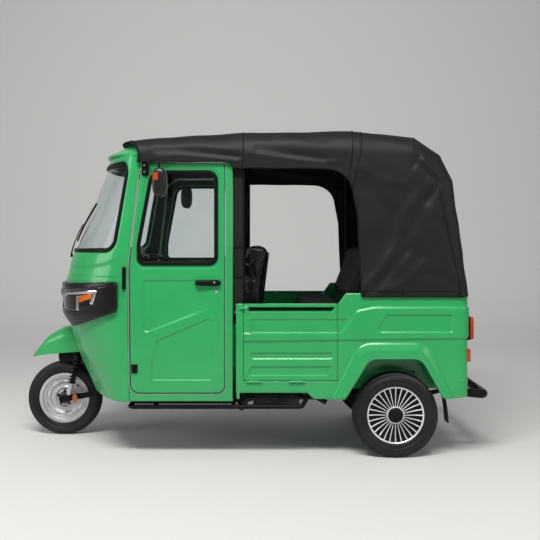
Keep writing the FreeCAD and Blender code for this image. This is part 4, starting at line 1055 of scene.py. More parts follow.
def canvas_front(y: np.ndarray) -> np.ndarray:
    """Station of the canvas's front edge: an arc in plan from 420 back to 612 at the sides."""
    return 420.0 + CANVAS_FRONT_R - np.sqrt(CANVAS_FRONT_R ** 2 - y ** 2)


def screen_corners(shrink: float) -> list[tuple[float, float, float]]:
    """The windscreen opening in the skin's (u, z) as (u, z, radius), drawn in by shrink."""
    low, top = 1251.0 + shrink, 1811.0 - shrink
    foot, head = 737.0 - shrink, 743.0 - shrink
    return [(-foot, low, 74 - shrink / 2), (foot, low, 74 - shrink / 2), (head, top, 96 - shrink / 2),
            (-head, top, 96 - shrink / 2)]


@dataclass
class Nose:
    """The front panel with a near-black sheet of painted shade behind it, the windscreen with its seal and
    wiper, and the peak.

    Attributes:
        form: The skin that all of it lies on.
        seam: Rear edge of the panel from the side, which is the door's front gap.
        arch: Front wheel arch from the front.
        belt_z: Height of the groove across the nose.
        glass_in: How far the pane lies behind the skin.
        glass_t: Thickness of the pane.
        seal_w: Width of the rubber round the pane.
    """

    form: NoseForm = field(default_factory=NoseForm)
    seam: tuple[tuple[float, float], ...] = (
        (551.0, 345.0), (551.0, 398.0), (543.0, 848.0), (543.0, 1163.0), (617.0, 1792.0), (624.0, 1852.0))
    arch: tuple[tuple[float, float, float], ...] = (
        (235.0, 345.0, 0.0), (220.0, 752.0, 60.0), (-220.0, 752.0, 60.0), (-235.0, 345.0, 0.0))
    belt_z: float = 1096.0
    glass_in: float = 10.0
    glass_t: float = 6.0
    seal_w: float = 24.0

    def screen(self, shrink: float, fine: float = 16.0) -> Outline:
        """The screen opening in the skin's own (u, z)."""
        return Outline.rounded(screen_corners(shrink), fine)

    def panel_outline(self) -> Outline:
        """The front panel's edge in (u, z): arch, bottom, seam and the arc under the peak."""
        line = Outline.rounded(self.arch, 16.0).points
        closing = (line[:, 1] < 345.5) & (np.abs(line[:, 0]) < 234.5)
        arch = self.form.from_front(line[~closing])
        seam = self.form.from_side(open_line(self.seam, 18.0))
        u = np.linspace(seam[-1, 0], 0, 40)
        y = self.form.place(u, np.full(40, 1862.0), np.zeros(40))[:, 1]
        top = np.stack([u, lip_height(y) + 3.0], 1)
        left = np.concatenate([seam, top])
        right = left[-2::-1] * (-1, 1)
        return Outline(np.concatenate([arch, left, right]))

    def panel(self) -> MeshData:
        """The front panel with its belt groove and a soft roll over the wheel arch."""
        edge = self.form.from_side(np.array([[497.0, self.belt_z]]))[0, 0]
        groove = Bead(((-edge, self.belt_z), (edge, self.belt_z)), -2.5, 4.0)
        flange = Pressing(Outline.rounded(
            [(285.0, 300.0, 0), (268.0, 800.0, 90), (-268.0, 800.0, 90), (-285.0, 300.0, 0)], 16.0
        ).changed(self.form.from_front), 5.0, 14.0)
        below = ((-820, 1212, 0), (-790, 1208, 0), (-641, 1173, 0), (-500, 1160, 0), (500, 1160, 0),
                 (641, 1173, 0), (790, 1208, 0), (820, 1212, 0), (820, 960, 0), (-820, 960, 0))
        brow = Pressing(Outline.rounded(below, 40.0), -6.0, 22.0)
        panel = Panel(self.panel_outline(), (self.screen(0.0),), (groove, flange, brow), 8.0, 4.0, 25.0)
        return panel.shell(self.form.place)

    def lining(self) -> MeshData:
        """A near-black sheet behind the skin, painted shade for the shadowed inside of the cab, with a wider
        screen opening.
        """
        place = self.form.place
        hole = Outline.rounded(screen_corners(-10.0), 24.0)
        line = self.panel_outline().points
        upper = Outline(line[line[:, 1] > 900.0])
        return Panel(upper, (hole,), (), 16.0, 0.0, 3.0).shell(
            lambda u, z, out: place(u, z, out - 26.0))

    def wiper(self) -> MeshData:
        """The wiper: a spindle on the nose, a tapering arm and its blade up the near half of the screen."""
        tip_u = float(self.form.from_side(np.array([[304.0, 1557.0]]))[0, 0])
        t = np.linspace(0, 1, 24)
        u, z = 40.0 + (tip_u - 40.0) * t, 1217.0 + 340.0 * t
        arm = self.form.place(u[:15], z[:15], 22.0 - 8.0 * t[:15])
        blade = self.form.place(u[7:], z[7:], 6.0 + 0 * t[7:])
        sideways = self.form.place(u[7:], z[7:], 16.0 + 0 * t[7:]) - blade
        wide = 5.5 - 2.0 * t[:15]
        across = unit(np.cross(np.gradient(arm, axis=0), arm - self.form.place(u[:15], z[:15], 0 * t[:15])))
        lift = unit(np.cross(across, np.gradient(arm, axis=0)))
        ring = np.array([(-1.5, -0.7), (1.5, -0.7), (1.5, 0.7), (-1.5, 0.7)])
        grid = (arm[:, None] + wide[:, None, None]
                * (ring[None, :, :1] * across[:, None] + ring[None, :, 1:] * lift[:, None]))
        bar = outward(capped(lattice(grid, wrap_columns=True), np.arange(4), np.arange(4) + 4 * 14))
        strip = sweep(blade, unit(sideways), soft_rectangle(6.0, 12.0, 2.0))
        foot = self.form.place(np.array([40.0, 40.0]), np.array([1217.0, 1217.0]), np.array([-4.0, 26.0]))
        return joined([bar, strip, sweep(foot, np.array((0.0, 1.0, 0.1)), circle(11.0, 16))])

    def glass(self) -> MeshData:
        """The windscreen pane, a smooth layer behind the skin."""
        place = self.form.place
        return Panel(self.screen(14.0), (), (), 14.0, 0.0, self.glass_t).shell(
            lambda u, z, out: place(u, z, out - self.glass_in))

    def seal(self) -> MeshData:
        """The rubber round the pane: a soft rectangle carried along the opening's edge."""
        line = self.screen(self.seal_w / 2, 9.0).points
        path = self.form.place(line[:, 0], line[:, 1], np.full(len(line), -3.0))
        ahead = self.form.place(line[:, 0], line[:, 1], np.full(len(line), 7.0))
        return sweep(path, unit(ahead - path), soft_rectangle(self.seal_w, 16.0, 6.0), closed=True)

    def peak(self) -> MeshData:
        """The peak: a cone-like sheet rising 1 in 2 from its lip, 18 thick, with a round lip."""
        y = np.linspace(-619.5, 619.5, 150)[None, :]
        plan = PEAK_PLAN_R - np.sqrt(PEAK_PLAN_R ** 2 - y ** 2)
        lip = 309.0 + 2.0 * (lip_height(y) - 1875.0) + plan
        back = canvas_front(y) + 38.0
        t = np.linspace(0, 1, 26)[:, None]
        x = lip + 8.0 + (back - lip - 8.0) * t
        top = np.stack([x, y + 0 * x, 1875.0 + 0.5 * (x - plan - 309.0)], -1)
        turn = np.linspace(0, math.pi, 9)[1:-1, None]
        centre_x, centre_z = lip + 8.0, 1875.0 + 0.5 * (lip + 8.0 - plan - 309.0) - 8.0
        nose_x = centre_x - 8.0 * np.sin(turn)
        nose = np.stack([nose_x, y + 0 * nose_x, centre_z + 8.0 * np.cos(turn)], -1)
        bottom = top - (0, 0, 16.0)
        ring = np.concatenate([top[::-1], nose, bottom])
        shape = lattice(ring.transpose(1, 0, 2), wrap_columns=True)
        m, n = len(ring), ring.shape[1]
        return capped(shape, np.arange(m), np.arange(m) + (n - 1) * m)

    def band_outline(self, corners: Sequence[tuple[float, float, float]]) -> Outline:
        """A side outline that runs on round the front, as a closed line in (u, z)."""
        line = Outline.rounded(corners, 14.0).points
        centre = self.form.place(np.zeros(len(line)), line[:, 1], np.zeros(len(line)))[:, 0]
        line = line[line[:, 0] > centre + 6.0]
        chain = self.form.from_side(line)
        start = int(np.argmax(np.linalg.norm(np.roll(chain, -1, 0) - chain, axis=1))) + 1
        chain = np.roll(chain, -start, 0)
        return Outline(np.concatenate([chain, chain[::-1] * (-1, 1)]))

    def build(self) -> None:
        """Adds every piece of the nose."""
        add_piece("front_panel", self.panel(), PAINT, "body", ["front_cowl"])
        add_piece("windscreen_pane", self.glass(), GLASS, "body", ["windscreen"])
        add_piece("windscreen_rubber", self.seal(), RUBBER, "body", ["windscreen_seal"])
        add_piece("screen_peak", self.peak(), PAINT, "body", ["visor"])
        # The near-black sheet behind the nose is painted shade.
        add_piece("nose_lining", self.lining(), PAINTED_SHADE, "body")
        add_piece("screen_wiper", self.wiper(), PLASTIC, "body", ["wiper"])


LAMP_BAND = ((-80.0, 1044.0, 0.0), (-80.0, 862.0, 0.0), (58.0, 862.0, 20.0), (180.0, 786.0, 14.0),
             (482.0, 893.0, 34.0), (482.0, 1073.0, 16.0))
LAMP_RECESS = ((62.0, 938.0, 10.0), (250.0, 1000.0, 10.0), (662.0, 1034.0, 10.0), (620.0, 912.0, 20.0),
               (476.0, 872.0, 20.0), (120.0, 884.0, 20.0))
LAMP_LIP = ((-830.0, 1074.0, 0.0), (-655.0, 1040.0, 0.0), (-260.0, 1008.0, 0.0), (260.0, 1008.0, 0.0),
            (655.0, 1040.0, 0.0), (830.0, 1074.0, 0.0), (830.0, 700.0, 0.0), (-830.0, 700.0, 0.0))
LAMP_INSERTS = (
    ("brow", "CHROME", 3.0, ((264, 970, 1), (340, 994, 4), (640, 1019, 4), (656, 1013, 3), (618, 930, 1),
                             (594, 936, 1), (625, 1000, 4), (340, 979, 3), (298, 962, 1))),
    ("signal", "AMBER", 4.0, ((500, 979, 2), (613, 996, 3), (608, 966, 3), (500, 938, 2))),
    ("post", "CHROME", 5.0, ((472, 978, 1), (496, 980, 1), (492, 890, 1), (466, 888, 1))),
)


@dataclass
class LampBand:
    """The black band across the nose with a lamp pocket on each side.

    Attributes:
        nose: The nose that carries it.
        out: How far its upper lip stands off the skin; the face below stands 9 mm further out.
        recess: How deep the lamp lies under the face.
    """

    nose: Nose
    out: float = 22.0
    recess: float = 15.0

    def outline(self, corners: Sequence[tuple[float, float, float]], side: Side,
                fine: float = 10.0) -> Outline:
        """An outline given for the left in the skin's (u, z), put on a side."""
        line = Outline.rounded(corners, fine)
        return line if side is Side.LEFT else line.changed(lambda p: p[::-1] * (-1, 1))

    def face(self) -> MeshData:
        """The band, raised below its lip and sunk at both lamps."""
        place = self.nose.form.place
        lip = Pressing(Outline.rounded(LAMP_LIP, 40.0), 9.0, 12.0, crisp=True)
        lamps = tuple(Pressing(self.outline(LAMP_RECESS, side), -self.recess, 12.0, crisp=True)
                      for side in Side)
        outline = self.nose.band_outline(LAMP_BAND)
        return Panel(outline, (), (lip,) + lamps, 5.0, 6.0, self.out - 0.3).shell(
            lambda u, z, out: place(u, z, out + self.out))

    def insert(self, side: Side, corners: Sequence[tuple[float, float, float]], stand: float) -> MeshData:
        """A flat-topped part that stands on the lamp's floor."""
        place = self.nose.form.place
        floor = self.out + 9.0 - self.recess
        return Panel(self.outline(corners, side, 6.0), (), (), 3.6, 1.0, stand).shell(
            lambda u, z, out: place(u, z, out + floor + stand + 0.5))

    def build(self) -> None:
        """Adds the band and each lamp's smoked lens, brow, signal and post."""
        add_piece("lamp_band", self.face(), GLOSS_PLASTIC, "body", ["lamp_panel"])
        middle = Outline.rounded(LAMP_RECESS, 10.0).points.mean(0)
        lens = tuple((middle[0] + 0.95 * (u - middle[0]), middle[1] + 0.86 * (z - middle[1]), r)
                     for u, z, r in LAMP_RECESS)
        finishes = {"CHROME": CHROME, "AMBER": AMBER}
        for side in Side:
            label = side.label
            add_piece(f"lamp_lens_{label}", self.insert(side, lens, 1.5), LENS, "body", ["lamp_units"])
            for name, finish, stand, corners in LAMP_INSERTS:
                add_piece(f"lamp_{name}_{label}", self.insert(side, corners, stand), finishes[finish], "body",
                          ["lamp_units"])


DOOR_LEAN = ((560.0, 398.0), (552.0, 1163.0), (625.0, 1792.0))
DOOR_REAR = 1130.0


def door_corners(grow: float) -> list[tuple[float, float, float]]:
    """The door from the side as (x, z, radius), made larger all round by grow."""
    (x0, z0), (x1, z1), (x2, z2) = DOOR_LEAN
    return [(x0 - grow, z0 - grow, 56 + grow), (DOOR_REAR + grow, z0 - grow, 46 + grow),
            (DOOR_REAR + grow, z2 + grow, 12 + grow), (x2 - grow, z2 + grow, 96 + grow), (x1 - grow, z1, 300)]


def window_corners(grow: float) -> list[tuple[float, float, float]]:
    """The door's window from the side as (x, z, radius), made larger by grow."""
    return [(604 - grow, 1178 - grow, 40 + grow), (1084 + grow, 1178 - grow, 48 + grow),
            (1084 + grow, 1744 + grow, 58 + grow), (684 - grow, 1744 + grow, 80 + grow),
            (603 - grow, 1300, 160)]


@dataclass
class Door:
    """A side door: pressed panel, window with its rubber, handle, lock and hinges.

    Attributes:
        side: Which side it hangs on.
        wall: Thickness of the door.
        handle_z: Height of the bar handle.
        presses: Outlines pressed into the lower skin.
    """

    side: Side
    wall: float = 35.0
    handle_z: float = 1066.0
    presses: tuple[tuple[tuple[float, float, float], ...], ...] = (
        ((634, 1080, 22), (634, 758, 26), (1080, 930, 10), (1080, 1080, 30)),
        ((712, 712, 40), (676, 478, 25), (1066, 478, 25), (1066, 862, 34)),
    )

    def panel(self) -> MeshData:
        """The pressed panel with its window opening and rounded edges."""
        upper = Pressing(Outline.rounded(self.presses[0], 20.0), -9.0, 15.0, fade=(900.0, 1075.0))
        lower = Pressing(Outline.rounded(self.presses[1], 20.0), -8.0, 14.0)
        ring = Pressing(Outline.rounded(window_corners(24.0), 20.0), -4.0, 9.0)
        window = Outline.rounded(window_corners(0.0), 12.0)
        outline = Outline.rounded(door_corners(0.0), 12.0)
        return Panel(outline, (window,), (upper, lower, ring), 5.6, 5.0,
                     self.wall).shell(side_plane(CAB_HALF))

    def lining(self) -> MeshData:
        """A near-black sheet on the door's inner face, painted shade for the shadowed inside of the cab."""
        window = Outline.rounded(window_corners(4.0), 20.0)
        outline = Outline.rounded(door_corners(-8.0), 20.0)
        return Panel(outline, (window,), (), 14.0, 1.0, 4.0).shell(side_plane(CAB_HALF - self.wall - 0.3))

    def pane(self) -> MeshData:
        """The window's pane, held in the rubber."""
        return Panel(Outline.rounded(window_corners(-4.0), 20.0), (), (), 20.0, 0.0, 4.0).shell(
            side_plane(CAB_HALF - 13.0))

    def hinge(self, upper: bool) -> MeshData:
        """A hinge cover with its bolts: the upper is tall and ahead of the gap, the lower crosses it."""
        if upper:
            corners = rectangle(510, 1026, 532, 1163, 8)
            bolts = ((521, 1040), (521, 1095), (521, 1149))
        else:
            corners = rectangle(566, 520, 603, 573, 4)
            bolts = ((585, 534), (585, 559))
        cover = slab(corners, CAB_HALF - 6.0, CAB_HALF + 11.0, step=4.0, edge=4.0)
        heads = [revolved(np.array([(0.1, -17.0), (4.5, -16.5), (5.5, -14.0), (5.5, -9.0), (0.1, -9.0)]),
                          (x, -CAB_HALF, z), 12) for x, z in bolts]
        return joined([cover] + heads)

    def strip(self) -> MeshData:
        """A pale line round the shut line, on the frame's side: a painted highlight for the lit rolled edges
        of the gap.
        """
        line = Outline.rounded(door_corners(6.6), 16.0).points
        path = np.stack([line[:, 0], np.full(len(line), -CAB_HALF + 1.2), line[:, 1]], 1)
        return sweep(path, np.array((0.0, -1.0, 0.0)), circle(2.6, 8), closed=True)

    def rubber(self) -> MeshData:
        """The window's black rubber, a soft profile carried round the opening."""
        line = Outline.rounded(window_corners(-6.0), 12.0).points
        path = np.stack([line[:, 0], np.full(len(line), -CAB_HALF + 1.0), line[:, 1]], 1)
        return sweep(path, np.array((0.0, -1.0, 0.0)), soft_rectangle(24.0, 13.0, 5.5), closed=True)

    def handle(self) -> MeshData:
        """A black bar on two feet with a push button at its rear end."""
        y = -CAB_HALF
        z = self.handle_z
        path = rounded_path([(957, y + 3, z), (960, y - 20, z), (1100, y - 20, z), (1101, y + 3, z)], 12.0)
        bar = sweep(path, np.array((0.0, 0.0, 1.0)), soft_rectangle(12.0, 27.0, 5.5))
        corners = ((958, z - 15, 14), (1060, z - 19, 14), (1102, z - 19, 18), (1102, z + 19, 18),
                   (1060, z + 19, 14), (958, z + 15, 14))
        plate = slab(corners, CAB_HALF - 1, CAB_HALF + 8, step=3.5, edge=6.0)
        knob = revolved(np.array([(0.1, -27.0), (14.0, -27.0), (18.0, -23.0), (18.0, -6.0), (0.1, -6.0)]),
                        (1080.0, y, z), 28)
        return joined([bar, plate, knob])

    def lock(self) -> MeshData:
        """The bright push button and the lock barrel under the handle."""
        cap = np.array([(0.1, -5.0), (4.5, -4.5), (6.0, -2.0), (8.0, -1.5), (8.0, 2.0), (0.1, 2.0)])
        return joined([revolved(cap * (1.1, 1), (1082.0, -CAB_HALF, 1017.0), 20),
                       revolved(cap * (0.7, 1), (1070.0, -CAB_HALF - 26.0, 1072.0), 16)])

    def build(self) -> None:
        """Adds every piece of the door."""
        add_sided(self.side, (
            ("door_*", self.panel(), PAINT, "door_*", "door_panel_*"),
            # The near-black sheet on the door's inner face is painted shade.
            ("door_lining_*", self.lining(), PAINTED_SHADE, "door_*", ""),
            ("door_pane_*", self.pane(), GLASS, "door_*", "door_glass_*"),
            ("door_lock_*", self.lock(), CHROME, "door_*", ""),
            ("door_hinge_upper_*", self.hinge(True), PLASTIC, "body", "door_hinges"),
            ("door_hinge_lower_*", self.hinge(False), PLASTIC, "door_*", ""),
            # The pale line round the door's gap is a painted highlight.
            ("door_strip_*", self.strip(), EDGE_HIGHLIGHT, "body", ""),
            ("window_rubber_*", self.rubber(), RUBBER, "door_*", ""),
            ("door_handle_*", self.handle(), PLASTIC, "door_*", ""),
        ))


@dataclass
class DoorSurround:
    """Sill, rear pillar and top rail that a door shuts into.

    Attributes:
        side: Which side it stands on.
        gap: The shut line round the door.
        depth: Thickness of the frame.
    """

    side: Side
    gap: float = 6.0
    depth: float = 60.0

    def outline(self) -> Outline:
        """The frame's edge: the outer corners, then back along the door's shut line."""
        (x0, _), _, (x2, _) = DOOR_LEAN
        outer = np.array([(x0 - 6, 349.0), (1179.0, 349.0), (1179.0, 1845.0), (x2 + 2, 1845.0)])
        inner = Outline.rounded(door_corners(self.gap), 18.0).points
        keep = ~((inner[:, 0] < 632.0) & (inner[:, 1] > 460.0) & (inner[:, 1] < 1694.0))
        start = int(np.argmin(keep)) if not keep.all() else 0
        run = np.roll(inner, -start, 0)[np.roll(keep, -start)]
        return Outline(divided(np.concatenate([outer, run[::-1]]), 20.0))

    def frame(self) -> MeshData:
        """The frame with two fine flutes down its rear pillar."""
        flutes = tuple(Bead(((x, 360.0), (x, 1838.0)), -3.5, 4.5) for x in (1148.0, 1167.0))
        return Panel(self.outline(), (), flutes, 4.5, 4.0, self.depth).shell(side_plane(CAB_HALF))

    def lining(self) -> MeshData:
        """A near-black sheet behind the frame, painted shade for the shadowed inside of the cab."""
        return Panel(self.outline(), (), (), 12.0, 1.0, 4.0).shell(side_plane(CAB_HALF - self.depth - 0.3))

    def screen(self) -> MeshData:
        """The black panel between the pillar and the roof's post, with its two clips."""
        panel = slab(rectangle(1183, 940, 1238, 1848), 594.0, 598.0, step=14.0, edge=1.0)
        clips = [slab(rectangle(1186, z, 1232, z + 6), 598.0, 610.0, step=3.0, edge=1.0)
                 for z in (1104.0, 1285.0)]
        return joined([panel] + clips)

    def build(self) -> None:
        """Adds the frame, a near-black sheet of painted shade behind it and the black panel behind it."""
        add_sided(self.side, (
            ("door_surround_*", self.frame(), PAINT, "body", "door_frames"),
            # The near-black sheet behind the door frame is painted shade.
            ("surround_lining_*", self.lining(), PAINTED_SHADE, "body", ""),
            ("pillar_screen_*", self.screen(), CANVAS, "body", ""),
        ))


@dataclass
class Mirror:
    """A door mirror: bracket, bent stem, domed shell with its rim and a side signal.

    Attributes:
        side: Which door it is on.
        centre: Middle of the shell, for the left.
        wide: Half width of the shell.
        tall: Half height of the shell.
        deep: How far the shell bulges.
        around: Points round the shell.
    """

    side: Side
    centre: tuple[float, float, float] = (748.0, -713.0, 1668.0)
    wide: float = 42.0
    tall: float = 88.0
    deep: float = 22.0
    around: int = 72

    def dome(self) -> MeshData:
        """The closed shell: rings of the oval |u/a|^2.6 + |v/b|^2.6 = 1, each at height deep * sin a.

        A ring's size is sqrt(cos a), with a from one pole to the other.
        """
        t = np.linspace(0, 2 * math.pi, self.around, endpoint=False)
        power = 2 / 2.6
        u = self.wide * np.sign(np.cos(t)) * np.abs(np.cos(t)) ** power
        v = self.tall * np.sign(np.sin(t)) * np.abs(np.sin(t)) ** power
        a = np.linspace(-math.pi / 2 + 0.02, math.pi / 2 - 0.02, 26)[:, None]
        ring, lift = np.cos(a) ** 0.5, self.deep * np.sin(a)
        x, y, z = self.centre
        grid = np.stack([x + ring * u, y - lift + 0 * ring * u, z + ring * v], -1)
        first = np.arange(self.around)
        return outward(capped(lattice(grid, wrap_columns=True), first, first + (len(a) - 1) * self.around))

    def rim(self) -> MeshData:
        """The grey rim behind the shell's rear edge."""
        x, y, z = self.centre
        a = np.linspace(-1.45, 1.45, 40)
        path = np.stack([x + 2.0 + (self.wide + 1.0) * np.cos(a) ** 0.77, np.full(40, y + 2.0),
                         z + (self.tall + 1.0) * np.sign(a) * np.abs(np.sin(a)) ** 0.77], 1)
        return sweep(path, np.array((0.0, -1.0, 0.0)), soft_rectangle(7.0, 16.0, 3.0))

    def build(self) -> None:
        """Adds the mirror's pieces."""
        x, _, z = self.centre
        signal = slab(rectangle(x - 37, z + 10, x - 4, z + 57, 4), 724.0, 737.5, step=3.0, edge=4.0)
        stem = tube([(655, -636, 1775), (682, -652, 1795), (730, -700, 1800), (746, -712, 1790),
                     (748, -714, 1738)],
                    7.0, 18.0, (0.1, 0.3, 1.0))
        bracket = slab(rectangle(629, 1714, 672, 1798, 12), CAB_HALF - 2, CAB_HALF + 12, step=5.0, edge=4.0)
        bolts = [revolved(np.array([(0.1, -18.0), (5.0, -17.0), (7.0, -12.0), (7.0, -8.0), (0.1, -8.0)]),
                          (646.0, -CAB_HALF, height), 12) for height in (1738.0, 1778.0)]
        add_sided(self.side, (
            ("mirror_shell_*", self.dome(), MIRROR, "door_*", "mirror_*"),
            ("mirror_rim_*", self.rim(), RIM_GREY, "door_*", "mirror_*"),
            ("mirror_signal_*", signal, DEEP_AMBER, "door_*", "mirror_*"),
            ("mirror_stem_*", joined([stem, bracket]), PLASTIC, "door_*", "mirror_*"),
            ("mirror_bolts_*", joined(bolts), CHROME, "door_*", ""),
        ))


REAR_PRESSES = (
    Pressing(Outline.rounded(((1236, 713, 6), (2720, 734, 0), (2720, 918, 0), (2034, 918, 40),
                              (1930, 898, 40), (1868, 800, 30), (1830, 762, 20), (1236, 762, 6)), 25.0), 10.0,
                              13.0),
    Pressing(Outline.rounded(((2046, 770, 16), (2511, 770, 12), (2511, 873, 12), (2108, 873, 16)), 25.0),
             -9.0, 12.0),
    Pressing(Outline.rounded(((1288, 762, 8), (1832, 762, 8), (1878, 846, 8), (1292, 846, 10)), 25.0), -8.0,
             12.0),
)
CORNER_START = 2552.0
CORNER_R = 60.0


def tub_skin(u: np.ndarray, v: np.ndarray, out: np.ndarray) -> np.ndarray:
    """The rear body's left skin: straight along x, then an arc round to the rear face.

    With a = (u - start) / r cut to 0..pi/2, x = min(u, start) + r sin a and
    y = -(half - r (1 - cos a)), and what is left of u runs on towards the middle.
    """
    a = np.clip((u - CORNER_START) / CORNER_R, 0, math.pi / 2)
    beyond = np.maximum(u - CORNER_START - CORNER_R * math.pi / 2, 0)
    x = np.minimum(u, CORNER_START) + (CORNER_R + out) * np.sin(a)
    y = -(TUB_HALF - CORNER_R - beyond) - (CORNER_R + out) * np.cos(a)
    return np.stack([x, y, v + 0 * x], -1)


@dataclass
class RearSide:
    """One side of the rear body with its drop gate.

    Attributes:
        side: Which side it is.
        wall: Thickness of the sheet.
        flare_out: How far the wheel flare stands out.
        outline: The wall's edge from the side, notched for the gate and the wheel.
        flare: The foot of the flare's slope.
        flare_face: The middle of the slope up to the flare's face.
        gate_presses: Outlines pressed into the gate.
        slot: The long slot near the gate's top.
    """

    side: Side
    wall: float = 30.0
    flare_out: float = 24.0
    outline: tuple[tuple[float, float, float], ...] = (
        (1200, 402, 6), (1630, 402, 10), (1672, 364, 10), (1858, 364, 0), (2007, 607, 80), (2318, 607, 80),
        (2454, 369, 0), (2520, 370, 0), (2688, 380, 0), (2688, 1003, 0), (1866, 1003, 16), (1822, 940, 12),
        (1815, 940, 0), (1815, 470, 0), (1244.5, 470, 0), (1244.5, 940, 0), (1200, 940, 0))
    flare: tuple[tuple[float, float, float], ...] = (
        (1776, 358, 0), (1944, 703, 124), (2343, 703, 100), (2520, 358, 0))
    flare_face: tuple[tuple[float, float, float], ...] = (
        (1798, 358, 0), (1953, 679, 110), (2338, 679, 90), (2503, 358, 0))
    gate_presses: tuple[tuple[tuple[float, float, float], ...], ...] = (
        ((1290, 608, 12), (1290, 642, 12), (1786, 642, 12), (1786, 608, 12)),
        ((1272, 508, 8), (1294, 559, 8), (1786, 559, 8), (1752, 508, 8)),
    )
    slot: tuple[tuple[float, float, float], ...] = (
        (1274, 893, 5), (1778, 893, 5), (1798, 919, 5), (1274, 919, 5))

    def wall_sheet(self) -> MeshData:
        """The fixed wall with its flare, ledge and pressed fields."""
        foot = Pressing(Outline.rounded(self.flare, 20.0), 6.0, 6.0)
        slope = Pressing(Outline.rounded(self.flare_face, 20.0), self.flare_out - 6.0, 44.0, crisp=True)
        hem = Bead(((2546.0, 474.0), (2710.0, 474.0)), 4.0, 5.0)
        panel = Panel(Outline.rounded(self.outline, 14.0), (), REAR_PRESSES + (foot, slope, hem), 5.9, 4.0,
                      self.wall)
        return panel.shell(tub_skin)

    def gate(self) -> MeshData:
        """The drop side with its slot, ledge and pressed fields."""
        corners = rectangle(1246.5, 476, 1813, 940, 2)
        slot = Pressing(Outline.rounded(self.slot, 20.0), -21.0, 5.0)
        fold = Bead(((1250.0, 503.0), (1772.0, 503.0)), -2.5, 3.5)
        ledge = Bead(((1262.0, 884.0), (1786.0, 884.0)), 4.0, 6.0)
        presses = tuple(Pressing(Outline.rounded(p, 20.0), -8.0, 12.0) for p in self.gate_presses)
        reliefs = (REAR_PRESSES[0], REAR_PRESSES[2], slot, fold, ledge) + presses
        return Panel(Outline.rounded(corners, 12.0), (), reliefs, 4.6, 2.0,
                     self.wall).shell(side_plane(TUB_HALF))

    def slot_floor(self) -> MeshData:
        """A near-black strip at the bottom of the gate's slot: painted shade for the dark inside the deep
        slot.
        """
        return slab(self.slot, TUB_HALF - 22.0, TUB_HALF - 19.0, step=8.0, edge=0.0)

    def latch(self) -> MeshData:
        """The gate's latch: a small pressed plate with its bolt."""
        plate = slab(rectangle(1250, 888, 1274, 926, 4), TUB_HALF - 2.0, TUB_HALF + 6.0, step=4.0, edge=3.0)
        return joined([plate, tube([(1222, -640, 915), (1268, -640, 915)], 5.0, 1.0)])

    def barrels(self, moving: bool) -> MeshData:
        """The hinge knuckles under the gate: the middle ones turn with it."""
        y, z = -TUB_HALF - 7.0, 470.0
        rows = []
        for x in (1308.0, 1568.0):
            spans = ((x - 29.7, x + 29.7),) if moving else ((x - 50.0, x - 30.0), (x + 30.0, x + 50.0))
            for low, high in spans:
                profile = np.array([(0.1, low), (5.2, low), (6.0, low + 0.8), (6.0, high - 0.8), (5.2, high),
                                    (0.1, high)])
                rows.append(revolved(profile, (0.0, y, z), 16, axis="x"))
                leaf = (z + 1.0, z + 22.0) if moving else (z - 22.0, z - 1.0)
                rows.append(slab(((low, leaf[0], 0), (high, leaf[0], 0), (high, leaf[1], 2),
                                  (low, leaf[1], 2)),
                                 TUB_HALF - 2.0, TUB_HALF + 4.0, step=6.0, edge=1.5))
        return joined(rows)

    def build(self) -> None:
        """Adds the wall, the gate and the hinges between them."""
        add_sided(self.side, (
            ("rear_wall_*", self.wall_sheet(), PAINT, "body", "rear_tub"),
            ("drop_side_*", self.gate(), PAINT, "gate_*_leaf", "gate_*"),
            # The strip in the gate's slot is painted shade.
            ("drop_slot_*", self.slot_floor(), PAINTED_SHADE, "gate_*_leaf", ""),
            ("drop_latch_*", self.latch(), PAINT, "gate_*_leaf", ""),
            ("drop_hinge_fixed_*", self.barrels(False), PAINT, "body", ""),
            ("drop_hinge_moving_*", self.barrels(True), PAINT, "gate_*_leaf", ""),
        ))


